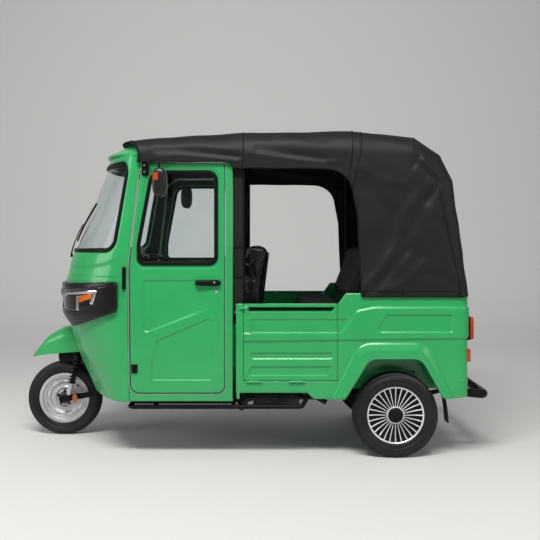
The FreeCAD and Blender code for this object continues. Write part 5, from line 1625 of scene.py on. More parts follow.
@dataclass
class RearBox:
    """What joins the two sides: floor, front and rear walls, bench box, wheel boxes and sills.

    Attributes:
        inner: Half width between the side walls.
        floor_z: Top of the floor.
        seat_z: Top of the bench box.
    """

    inner: float = 600.0
    floor_z: float = 475.0
    seat_z: float = 830.0

    def floor(self) -> MeshData:
        """The ribbed floor sheet."""
        ribs = tuple(Bead(((1240.0, y), (1610.0, y)), 2.5, 5.0) for y in np.arange(-520.0, 521.0, 80.0))
        narrow, wide = 434, 602
        corners = ((1201, -wide), (1812, -wide), (1812, -narrow), (2516, -narrow), (2516, -wide),
                   (2602, -wide), (2602, wide), (2516, wide), (2516, narrow), (1812, narrow), (1812, wide),
                   (1201, wide))
        return slab(tuple((x, y, 0) for x, y in corners), self.floor_z - 20, self.floor_z, "xy", 2.0, 15.0,
                    reliefs=ribs)

    def rear_wall(self) -> MeshData:
        """The rear wall with its plate pad, two pressed fields and the slot for the rails."""
        half = TUB_HALF - 98.5
        corners = ((-half, 380, 0), (-321, 380, 0), (-321, 455, 0), (321, 455, 0), (321, 380, 0),
                   (half, 380, 0), (half, 1003, 0), (-half, 1003, 0))
        pad = Pressing(Outline.rounded(rectangle(-170, 640, 170, 760, 20), 20.0), 4.0, 6.0)
        fields = tuple(Pressing(Outline.rounded(
            ((s * 440, 640, 16), (s * 230, 640, 16), (s * 230, 900, 16), (s * 440, 900, 16))[::int(s)], 20.0),
            -5.0, 9.0)
            for s in (-1, 1))
        top = Bead(((-560.0, 940.0), (560.0, 940.0)), 4.0, 9.0)
        return slab(corners, 2588.0, 2612.0, "yz", 5.0, 9.0, reliefs=(pad, top) + fields)

    def bench_box(self) -> MeshData:
        """The bench box: a bent sheet from the floor up and back over the top."""
        line = rounded_path([(1640.0, 0, self.floor_z - 4), (1610.0, 0, self.seat_z),
                             (2010.0, 0, self.seat_z)],
                            18.0, 7)[:, (0, 2)]
        t = np.linspace(0, 1, 60)
        along = np.concatenate([[0], np.cumsum(np.linalg.norm(np.diff(line, axis=0), axis=1))])
        spots = np.stack([np.interp(t * along[-1], along, line[:, k]) for k in (0, 1)], 1)
        y = np.linspace(-self.inner - 1, self.inner + 1, 60)
        grid = np.empty((60, 60, 3))
        grid[..., 0], grid[..., 2] = spots[:, :1], spots[:, 1:]
        grid[..., 1] = y[None]
        return thick(grid, 14.0)

    def wheel_box(self) -> MeshData:
        """The box over a rear wheel, made for the left: a bent sheet."""
        line = np.array([(1822, 402), (1945, 640), (2400, 640), (2508, 402)], float)
        path = rounded_path(np.insert(line, 1, 0, 1), 40.0, 8)[:, (0, 2)]
        y = np.linspace(-self.inner - 1, -430.0, 20)
        grid = np.empty((len(path), 20, 3))
        grid[..., 0], grid[..., 2] = path[:, :1], path[:, 1:]
        grid[..., 1] = y[None]
        return thick(grid, 6.0)

    def wheel_box_end(self) -> MeshData:
        """The upright inner end of a wheel box, made for the left."""
        ledge = Bead(((1880.0, 486.0), (2300.0, 486.0)), 9.0, 9.0)
        return slab(((1822, 392, 0), (2508, 392, 0), (2400, 640, 40), (1945, 640, 40)), 430.0, 442.0,
                    step=10.0, reliefs=(ledge,))

    def build(self) -> None:
        """Adds the pieces."""
        add_piece("passenger_floor", self.floor(), PAINT, "body", ["rear_tub"])
        add_piece("rear_end_wall", self.rear_wall(), PAINT, "body", ["rear_tub"])
        add_piece("bench_box", self.bench_box(), PAINT, "body", ["rear_tub"])
        front = slab(((-628, 366, 0), (628, 366, 0), (628, 560, 14), (-628, 560, 14)), 1200.0, 1220.0, "zy",
                     4.0, 14.0)
        add_piece("passenger_front_wall", front, PAINT, "body", ["rear_tub"])
        sill = slab(((1201, 400, 0), (1820, 400, 0), (1820, 465, 4), (1201, 465, 4)), 580.0, 601.0, step=14.0)
        for side in Side:
            add_sided(side, (
                # The wheel boxes carry painted shade in place of their green paint.
                ("wheel_box_*", self.wheel_box(), WHEEL_BOX_SHADE, "body", "rear_tub"),
                ("wheel_box_end_*", self.wheel_box_end(), PAINT, "body", "rear_tub"),
                ("gate_sill_*", sill, PAINT, "body", "rear_tub"),
            ))


@dataclass
class Canopy:
    """The canvas roof: one continuous sheet over hoops, with its hem, seams and folds.

    A row belongs to one point of the roof's side profile. Across a row the sheet climbs the side
    from its lower edge, turns over a shoulder arc and crosses the crown, and the right half mirrors
    it. The lower edge runs above the door, round the side opening and along the body.

    Attributes:
        rows: Grid rows from front to rear.
        side_columns: Grid columns up each side.
        arc_columns: Grid columns over each shoulder.
        top_columns: Grid columns across the crown.
        wall: Thickness of the cloth as modelled.
        half: Half width over the sides.
        front_x: Station of the front edge in the middle.
        front_reach: Station behind which the front edge's arc no longer shifts the rows.
        blur: Steps, of a 3000th of the profile, over which its direction is smoothed.
        sag: How far the cloth drops between the tubes.
        hoops: Stations where the cloth rests on the tubes.
        seams: Stations of the seams across the roof.
        profile: Station, height, shoulder radius and crown rise along the shoulder line.
        edge: Station and height of the lower edge, with corner radii.
        pairs: Lengths along the profile, and the lengths along the edge that they meet.
        folds: A line from the side, its height and its width for each fold.
        stitched: Lines on the side that carry a flat seam.
        studs: Places of the snaps in the hem.
        flat_size: The flat sheet's two sides in metres; not used.
    """

    rows: int = 236
    side_columns: int = 50
    arc_columns: int = 14
    top_columns: int = 40
    wall: float = 6.0
    half: float = CANVAS_HALF
    front_x: float = 420.0
    front_reach: float = 1150.0
    blur: float = 85.0
    sag: float = 7.0
    hoops: tuple[float, ...] = (640.0, 1240.0, 1800.0, 2281.0)
    seams: tuple[float, ...] = (1240.0, 1905.0, 1966.0)
    profile: tuple[tuple[float, float, float, float], ...] = (
        (420.0, 1936.0, 96.0, 30.0), (640.0, 1958.0, 120.0, 32.0), (1240.0, 1993.0, 150.0, 34.0),
        (1916.0, 2004.0, 150.0, 32.0), (2296.0, 1961.0, 140.0, 28.0), (2448.0, 1848.0, 110.0, 18.0),
        (2522.0, 1688.0, 84.0, 10.0), (2610.0, 1018.0, 58.0, 4.0), (2613.0, 985.0, 56.0, 3.0))
    edge: tuple[tuple[float, float, float], ...] = (
        (420.0, 1801.0, 0.0), (1160.0, 1801.0, 20.0), (1188.0, 1764.0, 20.0), (1880.0, 1757.0, 165.0),
        (1936.0, 1470.0, 200.0), (1943.0, 1265.0, 400.0), (1959.0, 985.0, 0.0), (2568.0, 985.0, 0.0))
    pairs: tuple[tuple[float, float], ...] = (
        (420.0, 420.0), (1160.0, 1160.0), (1200.0, 1204.0), (1740.0, 1744.0), (2060.0, 2060.0),
        (2330.0, 2590.0), (2640.0, 2870.0), (3364.0, 3210.0))
    folds: tuple[tuple[tuple[tuple[float, float], ...], float, float], ...] = (
        (((693, 1884), (922, 1890), (1163, 1869)), 5.0, 22.0),
        (((723, 1872), (922, 1863), (1073, 1848), (1205, 1830)), -9.0, 22.0),
        (((832, 1851), (1013, 1827), (1205, 1809)), 4.0, 20.0),
        (((1300, 1925), (1586, 1911), (1767, 1881)), 4.0, 24.0),
        (((1330, 1872), (1586, 1834), (1730, 1811)), -8.0, 22.0),
        (((1284, 1856), (1586, 1812), (1797, 1797)), 4.0, 17.0),
        (((2292, 1822), (2266, 1768)), -10.0, 16.0),
        (((2300, 1790), (2352, 1726), (2424, 1672)), -9.0, 16.0),
        (((2330, 1806), (2388, 1745), (2440, 1700)), 8.0, 18.0),
        (((2416, 1646), (2380, 1600), (2350, 1560)), -10.0, 20.0),
        (((2350, 1560), (2268, 1440), (2216, 1290)), -7.0, 34.0),
        (((2300, 1600), (2214, 1470), (2160, 1330)), 6.0, 34.0),
        (((1975, 1040), (2070, 1150), (2176, 1308)), 9.0, 26.0),
        (((2026, 1020), (2147, 1157), (2237, 1266)), -9.0, 24.0),
        (((2100, 1010), (2230, 1080), (2330, 1180)), 7.0, 28.0),
        (((2540, 1040), (2440, 1110), (2330, 1120)), -6.0, 28.0),
        (((2520, 1100), (2440, 1240), (2400, 1400)), 6.0, 34.0),
        (((2000, 1640), (2130, 1500), (2180, 1330)), -7.0, 44.0),
        (((1960, 1760), (2080, 1690), (2220, 1660)), 5.0, 34.0),
    )
    stitched: tuple[tuple[tuple[float, float], ...], ...] = (
        ((2425, 1645), (2455, 1480), (2556, 1026)), ((1964, 1018), (2556, 1018)))
    studs: tuple[tuple[float, float], ...] = ((1975, 1002), (2205, 1002), (2545, 1004))
    flat_size: tuple[float, float] = (3.2, 3.1)

    def spine(self) -> tuple[np.ndarray, np.ndarray, np.ndarray, np.ndarray]:
        """The profile sampled by length, its outward directions, radii and crown rises."""
        table = np.array(self.profile)
        length = np.concatenate([[0], np.cumsum(np.linalg.norm(np.diff(table[:, :2], axis=0), axis=1))])
        creases = self.front_x + length[1:-1]
        spread = np.linspace(0, length[-1], self.rows - 3 * len(creases))
        extra = np.concatenate([creases - self.front_x + d for d in (-7.0, 0.0, 7.0)])
        s = np.sort(np.concatenate([spread, extra]))
        parts = [np.interp(s, length, table[:, k]) for k in range(4)]
        line = np.stack(parts[:2], 1)
        fine = np.linspace(0, length[-1], 3000)
        smooth = np.stack([np.interp(fine, length, table[:, k]) for k in (0, 1)], 1)
        direction = unit(np.gradient(blurred(smooth, self.blur), axis=0))
        turn = np.stack([np.interp(s, fine, direction[:, k]) for k in (0, 1)], 1)
        normal = unit(np.stack([-turn[:, 1], turn[:, 0]], 1))
        return s + self.front_x, line, normal, np.stack(parts[2:], 1)

    def lower(self, s: np.ndarray) -> np.ndarray:
        """The lower edge's points that belong to lengths s of the profile."""
        line = Outline.rounded(self.edge + ((2568.0, 900.0, 0.0), (420.0, 900.0, 0.0)), 0.0).points
        last = int(np.argmax(np.abs(line - (2568.0, 985.0)).sum(1) < 1e-6))
        line = line[:last + 1]
        runs = np.linalg.norm(np.diff(line, axis=0), axis=1)
        length = self.front_x + np.concatenate([[0], np.cumsum(runs)])
        pairs = np.array(self.pairs)
        scale = (s[-1] - self.front_x) / (pairs[-1, 0] - self.front_x)
        at = np.interp(s, self.front_x + (pairs[:, 0] - self.front_x) * scale, pairs[:, 1])
        at = self.front_x + (at - self.front_x) * (length[-1] - self.front_x) / (pairs[-1, 1] - self.front_x)
        return np.stack([np.interp(at, length, line[:, k]) for k in (0, 1)], 1)

    def fold_height(self, x: np.ndarray, z: np.ndarray) -> np.ndarray:
        """The sum of the folds, and a slow swell of the cloth, at side places (x, z)."""
        places = np.stack([x.ravel(), z.ravel()], 1)
        total = sum(Bead(line, high, wide).height(places) for line, high, wide in self.folds)
        total = total + 1.6 * np.sin(places[:, 0] * 0.021 + 1.7 * np.sin(places[:, 1] * 0.013))
        total = total + 1.2 * np.sin(places[:, 1] * 0.034 + places[:, 0] * 0.011)
        return total.reshape(x.shape)

    def grid(self) -> np.ndarray:
        """The whole sheet's outer face."""
        s, spine, normal, more = self.spine()
        hem = self.lower(s)
        radius, rise = more[:, :1], more[:, 1:]
        shoulder = spine - normal * radius
        a = np.linspace(0, 1, self.side_columns)[None, :, None]
        side = hem[:, None] + (shoulder - hem)[:, None] * a
        side = np.concatenate([side, np.full(side.shape[:2] + (1,), -self.half)], 2)
        turn = np.linspace(0, math.pi / 2, self.arc_columns)[None, 1:-1]
        arc = spine[:, None] + normal[:, None] * (radius * (np.sin(turn) - 1.0))[..., None]
        arc = np.concatenate([arc, (-(self.half - radius) - radius * np.cos(turn))[..., None]], 2)
        t = np.linspace(-1, 0, self.top_columns // 2)[None, :]
        y = (self.half - radius) * t
        crown = rise * (1 - t ** 2)
        top = spine[:, None] + normal[:, None] * crown[..., None]
        top = np.concatenate([top, y[..., None]], 2)
        left = np.concatenate([side, arc, top], 1)[..., (0, 2, 1)]
        whole = np.concatenate([left, left[:, -2::-1] * (1, -1, 1)], 1)
        x, y = whole[..., 0], whole[..., 1]
        start = canvas_front(np.clip(np.abs(y), 0, self.half))
        share = (x - self.front_x) / (self.front_reach - self.front_x)
        whole[..., 0] = np.where(x < self.front_reach, start + share * (self.front_reach - start), x)
        return self.settled(whole)

    def settled(self, whole: np.ndarray) -> np.ndarray:
        """Adds the folds near the sides and the sag between hoops, along the sheet's normals."""
        out = unit(np.cross(np.gradient(whole, axis=0), np.gradient(whole, axis=1)))
        x, y, z = whole[..., 0], whole[..., 1], whole[..., 2]
        near = smooth_step((np.abs(y) - 480.0) / 90.0)
        free = smooth_step((z - 990.0) / 40.0)
        steps = np.linspace(0, 1, whole.shape[1])[None] + 0 * x
        edge = smooth_step(np.minimum(steps, 1 - steps) / 0.012)
        nearest = np.abs(x[..., None] - np.array(self.hoops)).min(-1)
        sag = -self.sag * smooth_step(nearest / 260.0) * (1 - near) * (x < self.hoops[-1])
        height = self.fold_height(x, z) * near * free * (0.25 + 0.75 * edge) + sag
        return whole + out * height[..., None]

    def line_on(self, side: Side, points: Sequence[tuple[float, float]]) -> np.ndarray:
        """Points just off the flat side of the sheet along a line of (x, z)."""
        line = open_line(points, 12.0)
        y = side.value * (self.half + 0.8 + self.fold_height(line[:, 0], line[:, 1]))
        return np.stack([line[:, 0], y, line[:, 1]], 1)

    def build(self) -> None:
        """Adds the sheet, its piping, seams and hem."""
        grid = self.grid()
        piece = add_piece("canvas_roof", thick(grid, self.wall), CANVAS, "body", ["canopy"], sharp=60.0)
        out = unit(np.cross(np.gradient(grid, axis=0), np.gradient(grid, axis=1)))
        borders = ((grid[:, 0], out[:, 0], 5.5), (grid[:, -1], out[:, -1], 5.5), (grid[0], out[0], 6.5))
        edging = [sweep(line - up * 3.0, up + 1e-4, circle(radius, 8)) for line, up, radius in borders]
        flat = soft_rectangle(7.0, 3.0, 1.2, 3)
        for station in self.seams:
            row = int(np.argmin(np.abs(grid[:, grid.shape[1] // 2, 0] - station)))
            edging.append(sweep(grid[row] + out[row] * 0.6, out[row], flat))
        for side in Side:
            for line in self.stitched:
                edging.append(sweep(self.line_on(side, line), np.array((0.0, side.value, 0.0)), flat))
        trim = add_piece("canvas_piping", joined(edging), WEB, "body")
        button = np.array([(0.1, 4.0), (5.0, 3.4), (7.0, 0.0), (0.1, 0.0)])
        snaps = [revolved(button, (x, self.half + 1.0, z), 12) for x, z in self.studs]
        add_piece("canvas_studs", joined(snaps + [s.mirrored() for s in snaps]), STEEL, "body")


@dataclass
class Wheel:
    """A tyre on its pressed wheel.

    Attributes:
        body: The CAD body that turns.
        centre: Station, y and height of the hub.
        radius: Tyre radius.
        width: Tyre width.
        out: -1 where the outer face looks to the left, 1 to the right.
        lugs: Tread blocks round each shoulder.
        rim_seat: Radius of the bead's seat.
        rim_flange: Radius of the rim's edge.
    """

    body: str
    centre: tuple[float, float, float]
    radius: float
    width: float
    out: int
    lugs: int = 112
    rim_seat: float = 152.0
    rim_flange: float = 170.0

    def tyre(self) -> MeshData:
        """The tyre: a round-shouldered section turned on its axle, with blocks cut in the tread.

        The tread's radius drops by the groove depth where the block wave is off, and the shoulder
        blocks fade out down the side wall.
        """
        half = self.width / 2
        r = self.radius
        section = Outline.rounded([
            (self.rim_seat, -33, 0), (self.rim_flange + 1, -33, 2), (self.rim_flange + 8, -half + 6, 8),
            (self.rim_flange + 30, -half, 18), (r - 26, -half + 1, 14), (r - 1.5, -half + 15, 12),
            (r, -half + 24, 20), (r, half - 24, 20), (r - 1.5, half - 15, 12), (r - 26, half - 1, 14),
            (self.rim_flange + 30, half, 18),
            (self.rim_flange + 8, half - 6, 8), (self.rim_flange + 1, 33, 2), (self.rim_seat, 33, 0)],
            5.2).points
        count = self.lugs * 4
        shape = revolved(section, (0.0, 0.0, 0.0), count)
        points = shape.points.reshape(count, len(section), 3)
        angle = np.arange(count)[:, None] * 2 * math.pi / count
        radius, offset = section[None, :, 0], section[None, :, 1]
        phase = self.lugs * angle / (2 * math.pi) + np.where(offset > 0, 0.5, 0.0)
        block = (np.mod(phase + 0.004 * offset ** 2 / 4, 1.0) < 0.42).astype(float)
        near_edge = smooth_step((np.abs(offset) - half + 34.0) / 8.0)
        shoulder = smooth_step((radius - (r - 30.0)) / 16.0) * near_edge
        ring = np.exp(-((np.abs(offset) - 9.0) / 3.0) ** 2) + np.exp(-((np.abs(offset) - 27.0) / 2.5) ** 2)
        ring = ring * (radius > r - 8.0)
        wall_line = 3.2 * np.exp(-((radius - (self.rim_flange + 34.0)) / 2.0) ** 2)
        wall_line = wall_line + 2.6 * np.exp(-((radius - (r - 34.0)) / 2.0) ** 2)
        drop = 7.5 * block * shoulder + 6.0 * ring
        scale = (radius - drop) / np.maximum(radius, 1e-6)
        points = points * np.stack([scale, 1 + 0 * scale, scale], -1)
        points[..., 1] += np.sign(offset) * wall_line * (np.abs(offset) > half - 12.0)
        return MeshData(points.reshape(-1, 3) + self.centre, shape.quads)

    def rim(self) -> np.ndarray:
        """The rim's section, outer side first: two flanges, seats and the well between them."""
        seat, flange = self.rim_seat, self.rim_flange
        return Outline.rounded([
            (flange - 1, -40, 2), (flange + 1, -36, 2), (seat + 1, -32, 4), (seat, -20, 3), (136, -14, 4),
            (136, 14, 4), (seat, 20, 3), (seat + 1, 32, 4), (flange + 1, 36, 2), (flange - 1, 40, 2),
            (seat - 5, 36, 4), (seat - 7, 22, 3), (130, 18, 4), (130, -18, 4), (seat - 7, -22, 3),
            (seat - 5, -36, 4)], 7.0).points

    def turned(self, profile: np.ndarray, count: int = 96) -> MeshData:
        """A section turned round the wheel's axle, with its faces outward."""
        return revolved(profile * (1, self.out), self.centre, count)


@dataclass
class FrontWheel(Wheel):
    """The front wheel: a silver disc with a ring of slots, and its hub nuts.

    Attributes:
        slots: How many slots.
        slot_r: Radius of the slots' middle line.
        nuts: How many hub nuts.
    """

    slots: int = 9
    slot_r: float = 117.0
    nuts: int = 5

    def dish(self, r: np.ndarray) -> np.ndarray:
        """Offset of the disc's face towards the outside at radius r."""
        table = np.array([(0, 16), (30, 16), (46, 15), (54, 9), (60, 12), (66, 20), (72, 19), (80, 9),
                          (94, 7), (104, 17), (112, 21), (124, 21), (133, 15), (140, 6), (150, 6)], float)
        return np.interp(r, table[:, 0], table[:, 1])

    def disc(self) -> MeshData:
        """The disc: a circle with its slots, laid on the dished form."""
        round_line = Outline(circle(146.0, 120))
        oval = Outline.rounded(rectangle(-20, -8.5, 20, 8.5, 8), 5.0)
        bend = oval.points[:, :1] ** 2 / (2 * self.slot_r)
        holes = []
        for k in range(self.slots):
            turn = math.radians(86 + 360 / self.slots * k)
            across = np.array((-math.sin(turn), math.cos(turn)))
            outwards = np.array((math.cos(turn), math.sin(turn)))
            line = (self.slot_r + oval.points[:, 1:] - bend) * outwards + oval.points[:, :1] * across
            holes.append(Outline(line))
        x, y, z = self.centre
        return Panel(round_line, tuple(holes), (), 3.4, 1.5, 5.0).shell(
            lambda u, v, out: np.stack([x + u, y - self.dish(np.hypot(u, v)) - out, z + v], -1))

    def build(self) -> None:
        """Adds the tyre, rim, disc and hub."""
        add_piece("front_tyre_casing", self.tyre(), TYRE, self.body, ["front_tyre"], sharp=50.0)
        add_piece("front_wheel_rim", self.turned(self.rim(), 112), SILVER, self.body, ["front_rim"])
        add_piece("front_wheel_disc", self.disc(), SILVER, self.body, ["front_rim"])
        hub = np.array([(11.5, -62), (40, -62), (44, -58), (44, -28), (58, -20), (58, 4), (46, 12), (44, 20),
                        (30, 24), (28, 62), (11.5, 62)], float)
        add_piece("front_hub", self.turned(hub, 64), ALLOY, self.body, ["front_rim"])
        nut = np.array([(0.1, -28.0), (7.0, -28.0), (9.0, -26.0), (9.0, -14.0), (0.1, -14.0)])
        turns = [2 * math.pi * k / self.nuts + 0.3 for k in range(self.nuts)]
        spots = [np.array(self.centre) + (46 * math.cos(turn), 0, 46 * math.sin(turn)) for turn in turns]
        add_piece("front_hub_nuts", joined([revolved(nut, spot, 6) for spot in spots]), STEEL, self.body,
                  ["front_rim"])


@dataclass
class RearWheel(Wheel):
    """A rear wheel with its black cover of bright radial spokes."""

    spokes: int = 28

    def cover(self) -> MeshData:
        """The black cover: a shallow dish from the hub cap out to the rim."""
        profile = np.array([(0.1, 38), (48, 38), (53, 33), (60, 29), (138, 30), (156, 33), (165, 38),
                            (171, 43), (174, 41), (168, 27), (60, 20), (0.1, 20)], float)
        return self.turned(Outline(divided(profile, 9.0)).points, 120)

    def bars(self) -> MeshData:
        """The spokes, each a tapering raised bar, laid on the dish between two rings."""
        r = np.linspace(50, 164, 13)
        wide = np.interp(r, (50, 164), (1.9, 3.3))
        high = np.interp(r, (50, 60, 131, 145, 164), (38, 32, 32.5, 39.0, 42.0))
        section = np.array([(-1.0, -4.0), (1.0, -4.0), (1.0, 0.4), (0.55, 1.6), (-0.55, 1.6), (-1.0, 0.4)])
        lift = np.array((0.0, float(self.out), 0.0))
        first = np.arange(len(section))
        rows = []
        for k in range(self.spokes):
            turn = 2 * math.pi * (k + 0.02) / self.spokes
            along = np.array((math.sin(turn), 0.0, math.cos(turn)))
            across = np.array((math.cos(turn), 0.0, -math.sin(turn)))
            grid = (np.array(self.centre) + r[:, None, None] * along
                    + (wide[:, None] * section[None, :, 0])[..., None] * across
                    + (high[:, None] + section[None, :, 1])[..., None] * lift)
            shape = lattice(grid, wrap_columns=True)
            rows.append(outward(capped(shape, first, first + len(section) * (len(r) - 1))))
        outer = np.array([(162, 34), (164, 39), (169, 44), (173, 44.5), (174.5, 40), (168, 34)], float)
        inner = np.array([(46, 34), (47, 39.5), (50, 40), (52, 37), (53, 32)], float)
        return joined(rows + [self.turned(outer, 120), self.turned(inner, 72)])

    def cap(self) -> MeshData:
        """The black hub cap with a small boss."""
        profile = np.array([(0.1, 50), (5, 49.5), (8, 46), (24, 45), (30, 47), (34, 45), (43, 42), (46, 38),
                            (46, 32), (0.1, 32)], float)
        return self.turned(profile, 64)

    def build(self) -> None:
        """Adds the tyre, rim, cover, spokes and cap."""
        label = Side(self.out).label
        add_piece(f"rear_tyre_casing_{label}", self.tyre(), TYRE, self.body, [f"rear_tyre_{label}"],
                  sharp=50.0)
        for name, shape, finish in (("rear_wheel_rim", self.turned(self.rim(), 96), STEEL),
                                    ("wheel_cover", self.cover(), COVER),
                                    ("cover_spokes", self.bars(), SPOKE),
                                    ("hub_cap", self.cap(), COVER)):
            add_piece(f"{name}_{label}", shape, finish, self.body, [f"rear_rim_{label}"])


DAMPER_PARTS = (
    ("damper_rod", STEEL, ((0.3, 12), (0.97, 12))),
    ("damper_body", SILVER, ((0.06, 11), (0.08, 15), (0.1, 16.5), (0.3, 17), (0.31, 23), (0.335, 24),
                             (0.345, 20), (0.36, 12))),
    ("spring_cup", STEEL, ((0.935, 14), (0.94, 25), (0.965, 26), (0.975, 22), (0.99, 12))),
)


@dataclass
class FrontFork:
    """What dresses the fork: the mudguard and the dampers with their open coils.

    Attributes:
        guard: Rows of station, half width, top, shoulder drop and bottom edge of the mudguard.
        turns: Coils of a spring.
        around: Points round a damper's body.
    """

    turns: float = 8.5
    around: int = 24
    guard: tuple[tuple[float, float, float, float, float], ...] = (
        (-223.0, 6.0, 537.0, 3.0, 527.0), (-118.0, 62.0, 672.0, 60.0, 551.0),
        (0.0, 110.0, 738.0, 84.0, 567.0), (150.0, 138.0, 746.0, 88.0, 580.0))

    def guard_sheet(self) -> MeshData:
        """The mudguard: an arched section drawn back along the wheel.

        At each station the section climbs its side and crosses a rounded top; the table's
        half width, top, shoulder drop and bottom edge are joined smoothly.
        """
        table = np.array(self.guard)
        x = np.linspace(table[0, 0], table[-1, 0], 70)
        half, top, drop, low = (blurred(np.interp(x, table[:, 0], table[:, k]), 3.0)[:, None]
                                for k in (1, 2, 3, 4))
        half = np.maximum(half, 3.0)
        t = np.linspace(0, 1, 14)[None, :-1]
        side_z = low + (top - drop - low) * t
        side = np.stack([x[:, None] + 0 * side_z, -half + 0 * side_z, side_z], -1)
        turn = np.linspace(0, math.pi / 2, 26)[None]
        rise = drop * np.sin(turn) ** 0.9
        across = -half * np.cos(turn) ** 0.82
        crest = 2.0 * np.exp(-((across / 6.0) ** 2))
        arch = np.stack([x[:, None] + 0 * rise, across, top - drop + rise + crest], -1)
        left = np.concatenate([side, arch], 1)
        whole = np.concatenate([left, left[:, -2::-1] * (1, -1, 1)], 1)
        return thick(whole, 4.0)

    def damper(self, side: Side) -> MeshData:
        """A damper's spring: a helix of round wire between its two seats."""
        foot, run, axis, across, other = self.damper_axes(side)
        t = np.linspace(0.0, 1.0, 250)[:, None]
        turns = 2 * math.pi * self.turns * t
        ends = np.interp(t, (0, 0.06, 0.94, 1), (0.34, 0.355, 0.945, 0.96))
        path = foot + run * ends + 22.0 * (np.cos(turns) * across + np.sin(turns) * other)
        return sweep(path, axis, circle(5.4, 8))

    def damper_axes(self, side: Side) -> tuple[np.ndarray, ...]:
        """A damper's bottom eye, the run up to its top seat, and that run's three directions."""
        y = side.value * 112.0
        foot, top = np.array((44.0, y, 268.0)), np.array((116.0, y, 559.0))
        axis = unit(top - foot)
        across = unit(np.cross(axis, (0.0, 1.0, 0.0)))
        return foot, top - foot, axis, across, np.cross(axis, across)

    def along(self, side: Side, spans: Sequence[tuple[float, float]]) -> MeshData:
        """A turned body on a damper's line from rows of share along it and radius."""
        foot, run, _, across, other = self.damper_axes(side)
        share = np.array([s for s, _ in spans])[:, None, None]
        radius = np.array([r for _, r in spans])[:, None, None]
        a = np.linspace(0, 2 * math.pi, self.around, endpoint=False)[None, :, None]
        grid = foot + run * share + radius * (np.cos(a) * across - np.sin(a) * other)
        first = np.arange(self.around)
        return outward(capped(lattice(grid, wrap_columns=True), first,
                              first + (len(spans) - 1) * self.around))

    def build(self) -> None:
        """Adds the mudguard, springs, damper bodies and brackets."""
        add_piece("front_mudguard", self.guard_sheet(), PAINT, "steering", ["front_guard"])
        # A black block under the mudguard: painted shade above the front wheel.
        inner = slab(((-34, 566, 10), (-30, 506, 14), (44, 503, 20), (118, 474, 14), (146, 560, 10)), -66.0,
                     66.0, step=12.0, edge=4.0)
        add_piece("guard_inner", inner, PLASTIC, "steering")
        for side in Side:
            label = side.label
            add_piece(f"spring_{label}", self.damper(side), GLOSS_PLASTIC, "steering", ["front_dampers"])
            for name, finish, spans in DAMPER_PARTS:
                add_piece(f"{name}_{label}", self.along(side, spans), finish, "steering", ["front_dampers"])
            bracket = slab(((82, 240, 4), (112, 240, 4), (112, 284, 4), (96, 300, 4), (82, 284, 4)), 128.0,
                           138.0, step=4.0, edge=2.0)
            add_piece(f"link_bracket_{label}", bracket.on(side), COPPER, "steering")


@dataclass
class Seat:
    """A padded seat part made from a rounded loft and then filled like a cushion.

    Attributes:
        name: The piece's name.
        node: The CAD solid that it replaces.
        section: Side outline as station, height and corner radius.
        half: Half width.
        finish: What it is covered with.
        cell: Size of the cells that the cover is remeshed with.
        puff: How far a point may move as it fills, in millimetres.
        turn: Radius of the cover's end corners.
    """

    name: str
    node: str
    section: tuple[tuple[float, float, float], ...]
    half: float
    finish: Finish = VINYL
    cell: float = 6.0
    puff: float = 14.0
    turn: float = 30.0

    def loft(self) -> MeshData:
        """The slack cover: the side outline carried across, drawn in towards its middle at both ends."""
        line = Outline.rounded(self.section, 12.0).points
        middle = line.mean(0)
        away = line - middle
        away_length = np.linalg.norm(away, axis=1)[None, :, None]
        turn = self.turn
        t = np.linspace(-1, 1, 40)
        y = (self.half - 6.0) * np.sin(t * math.pi / 2)[:, None, None]
        near = np.clip(np.abs(y) - (self.half - 6.0 - turn), 0, turn)
        inset = 7.0 + turn - np.sqrt(turn ** 2 - near ** 2)
        ring = middle + away[None] * (1 - inset / away_length)
        grid = np.concatenate([ring[..., :1], y + 0 * ring[..., :1], ring[..., 1:]], -1)
        shape = lattice(grid, wrap_columns=True)
        m = len(line)
        return outward(capped(shape, np.arange(m), np.arange(m) + (len(t) - 1) * m))

    def build(self) -> None:
        piece = add_piece(self.name, self.loft(), self.finish, "body", [self.node], sharp=80.0)
        fill_cushion(piece, self.puff, self.cell)


def fill_cushion(piece: bpy.types.Object, cap_mm: float, cell_mm: float) -> None:
    """Swells a closed mesh as stuffed cloth and caps how far each point moves.

    Args:
        piece: The slack cover, at the origin and unscaled.
        cap_mm: Longest move of a point in millimetres.
        cell_mm: Size of the remeshed cells in millimetres.
    """
    frames = 20
    scene = bpy.context.scene
    bpy.context.view_layer.objects.active = piece
    remesh = piece.modifiers.new("voxels", "REMESH")
    remesh.mode = "VOXEL"
    remesh.voxel_size = cell_mm * 0.001
    with bpy.context.temp_override(object=piece, active_object=piece):
        bpy.ops.object.modifier_apply(modifier="voxels")
    count = len(piece.data.vertices)
    start = np.empty(count * 3, np.float32)
    piece.data.vertices.foreach_get("co", start)
    start = start.reshape(-1, 3)
    cloth = piece.modifiers.new("filling", "CLOTH")
    cloth.settings.use_pressure = True
    cloth.settings.uniform_pressure_force = 4.0
    cloth.settings.effector_weights.gravity = 0.0
    cloth.settings.quality = 3
    cloth.point_cache.frame_start = 1
    cloth.point_cache.frame_end = frames
    for frame in range(1, frames + 1):
        scene.frame_set(frame)
    graph = bpy.context.evaluated_depsgraph_get()
    filled = piece.evaluated_get(graph).to_mesh()
    end = np.empty(count * 3, np.float32)
    filled.vertices.foreach_get("co", end)
    piece.evaluated_get(graph).to_mesh_clear()
    piece.modifiers.remove(cloth)
    move = end.reshape(-1, 3) - start
    length = np.maximum(np.linalg.norm(move, axis=1, keepdims=True), 1e-9)
    limit = cap_mm * 0.001
    places = start + move * np.minimum(length, limit) / length
    piece.data.vertices.foreach_set("co", places.astype(np.float32).ravel())
    piece.data.update()
    scene.frame_set(1)


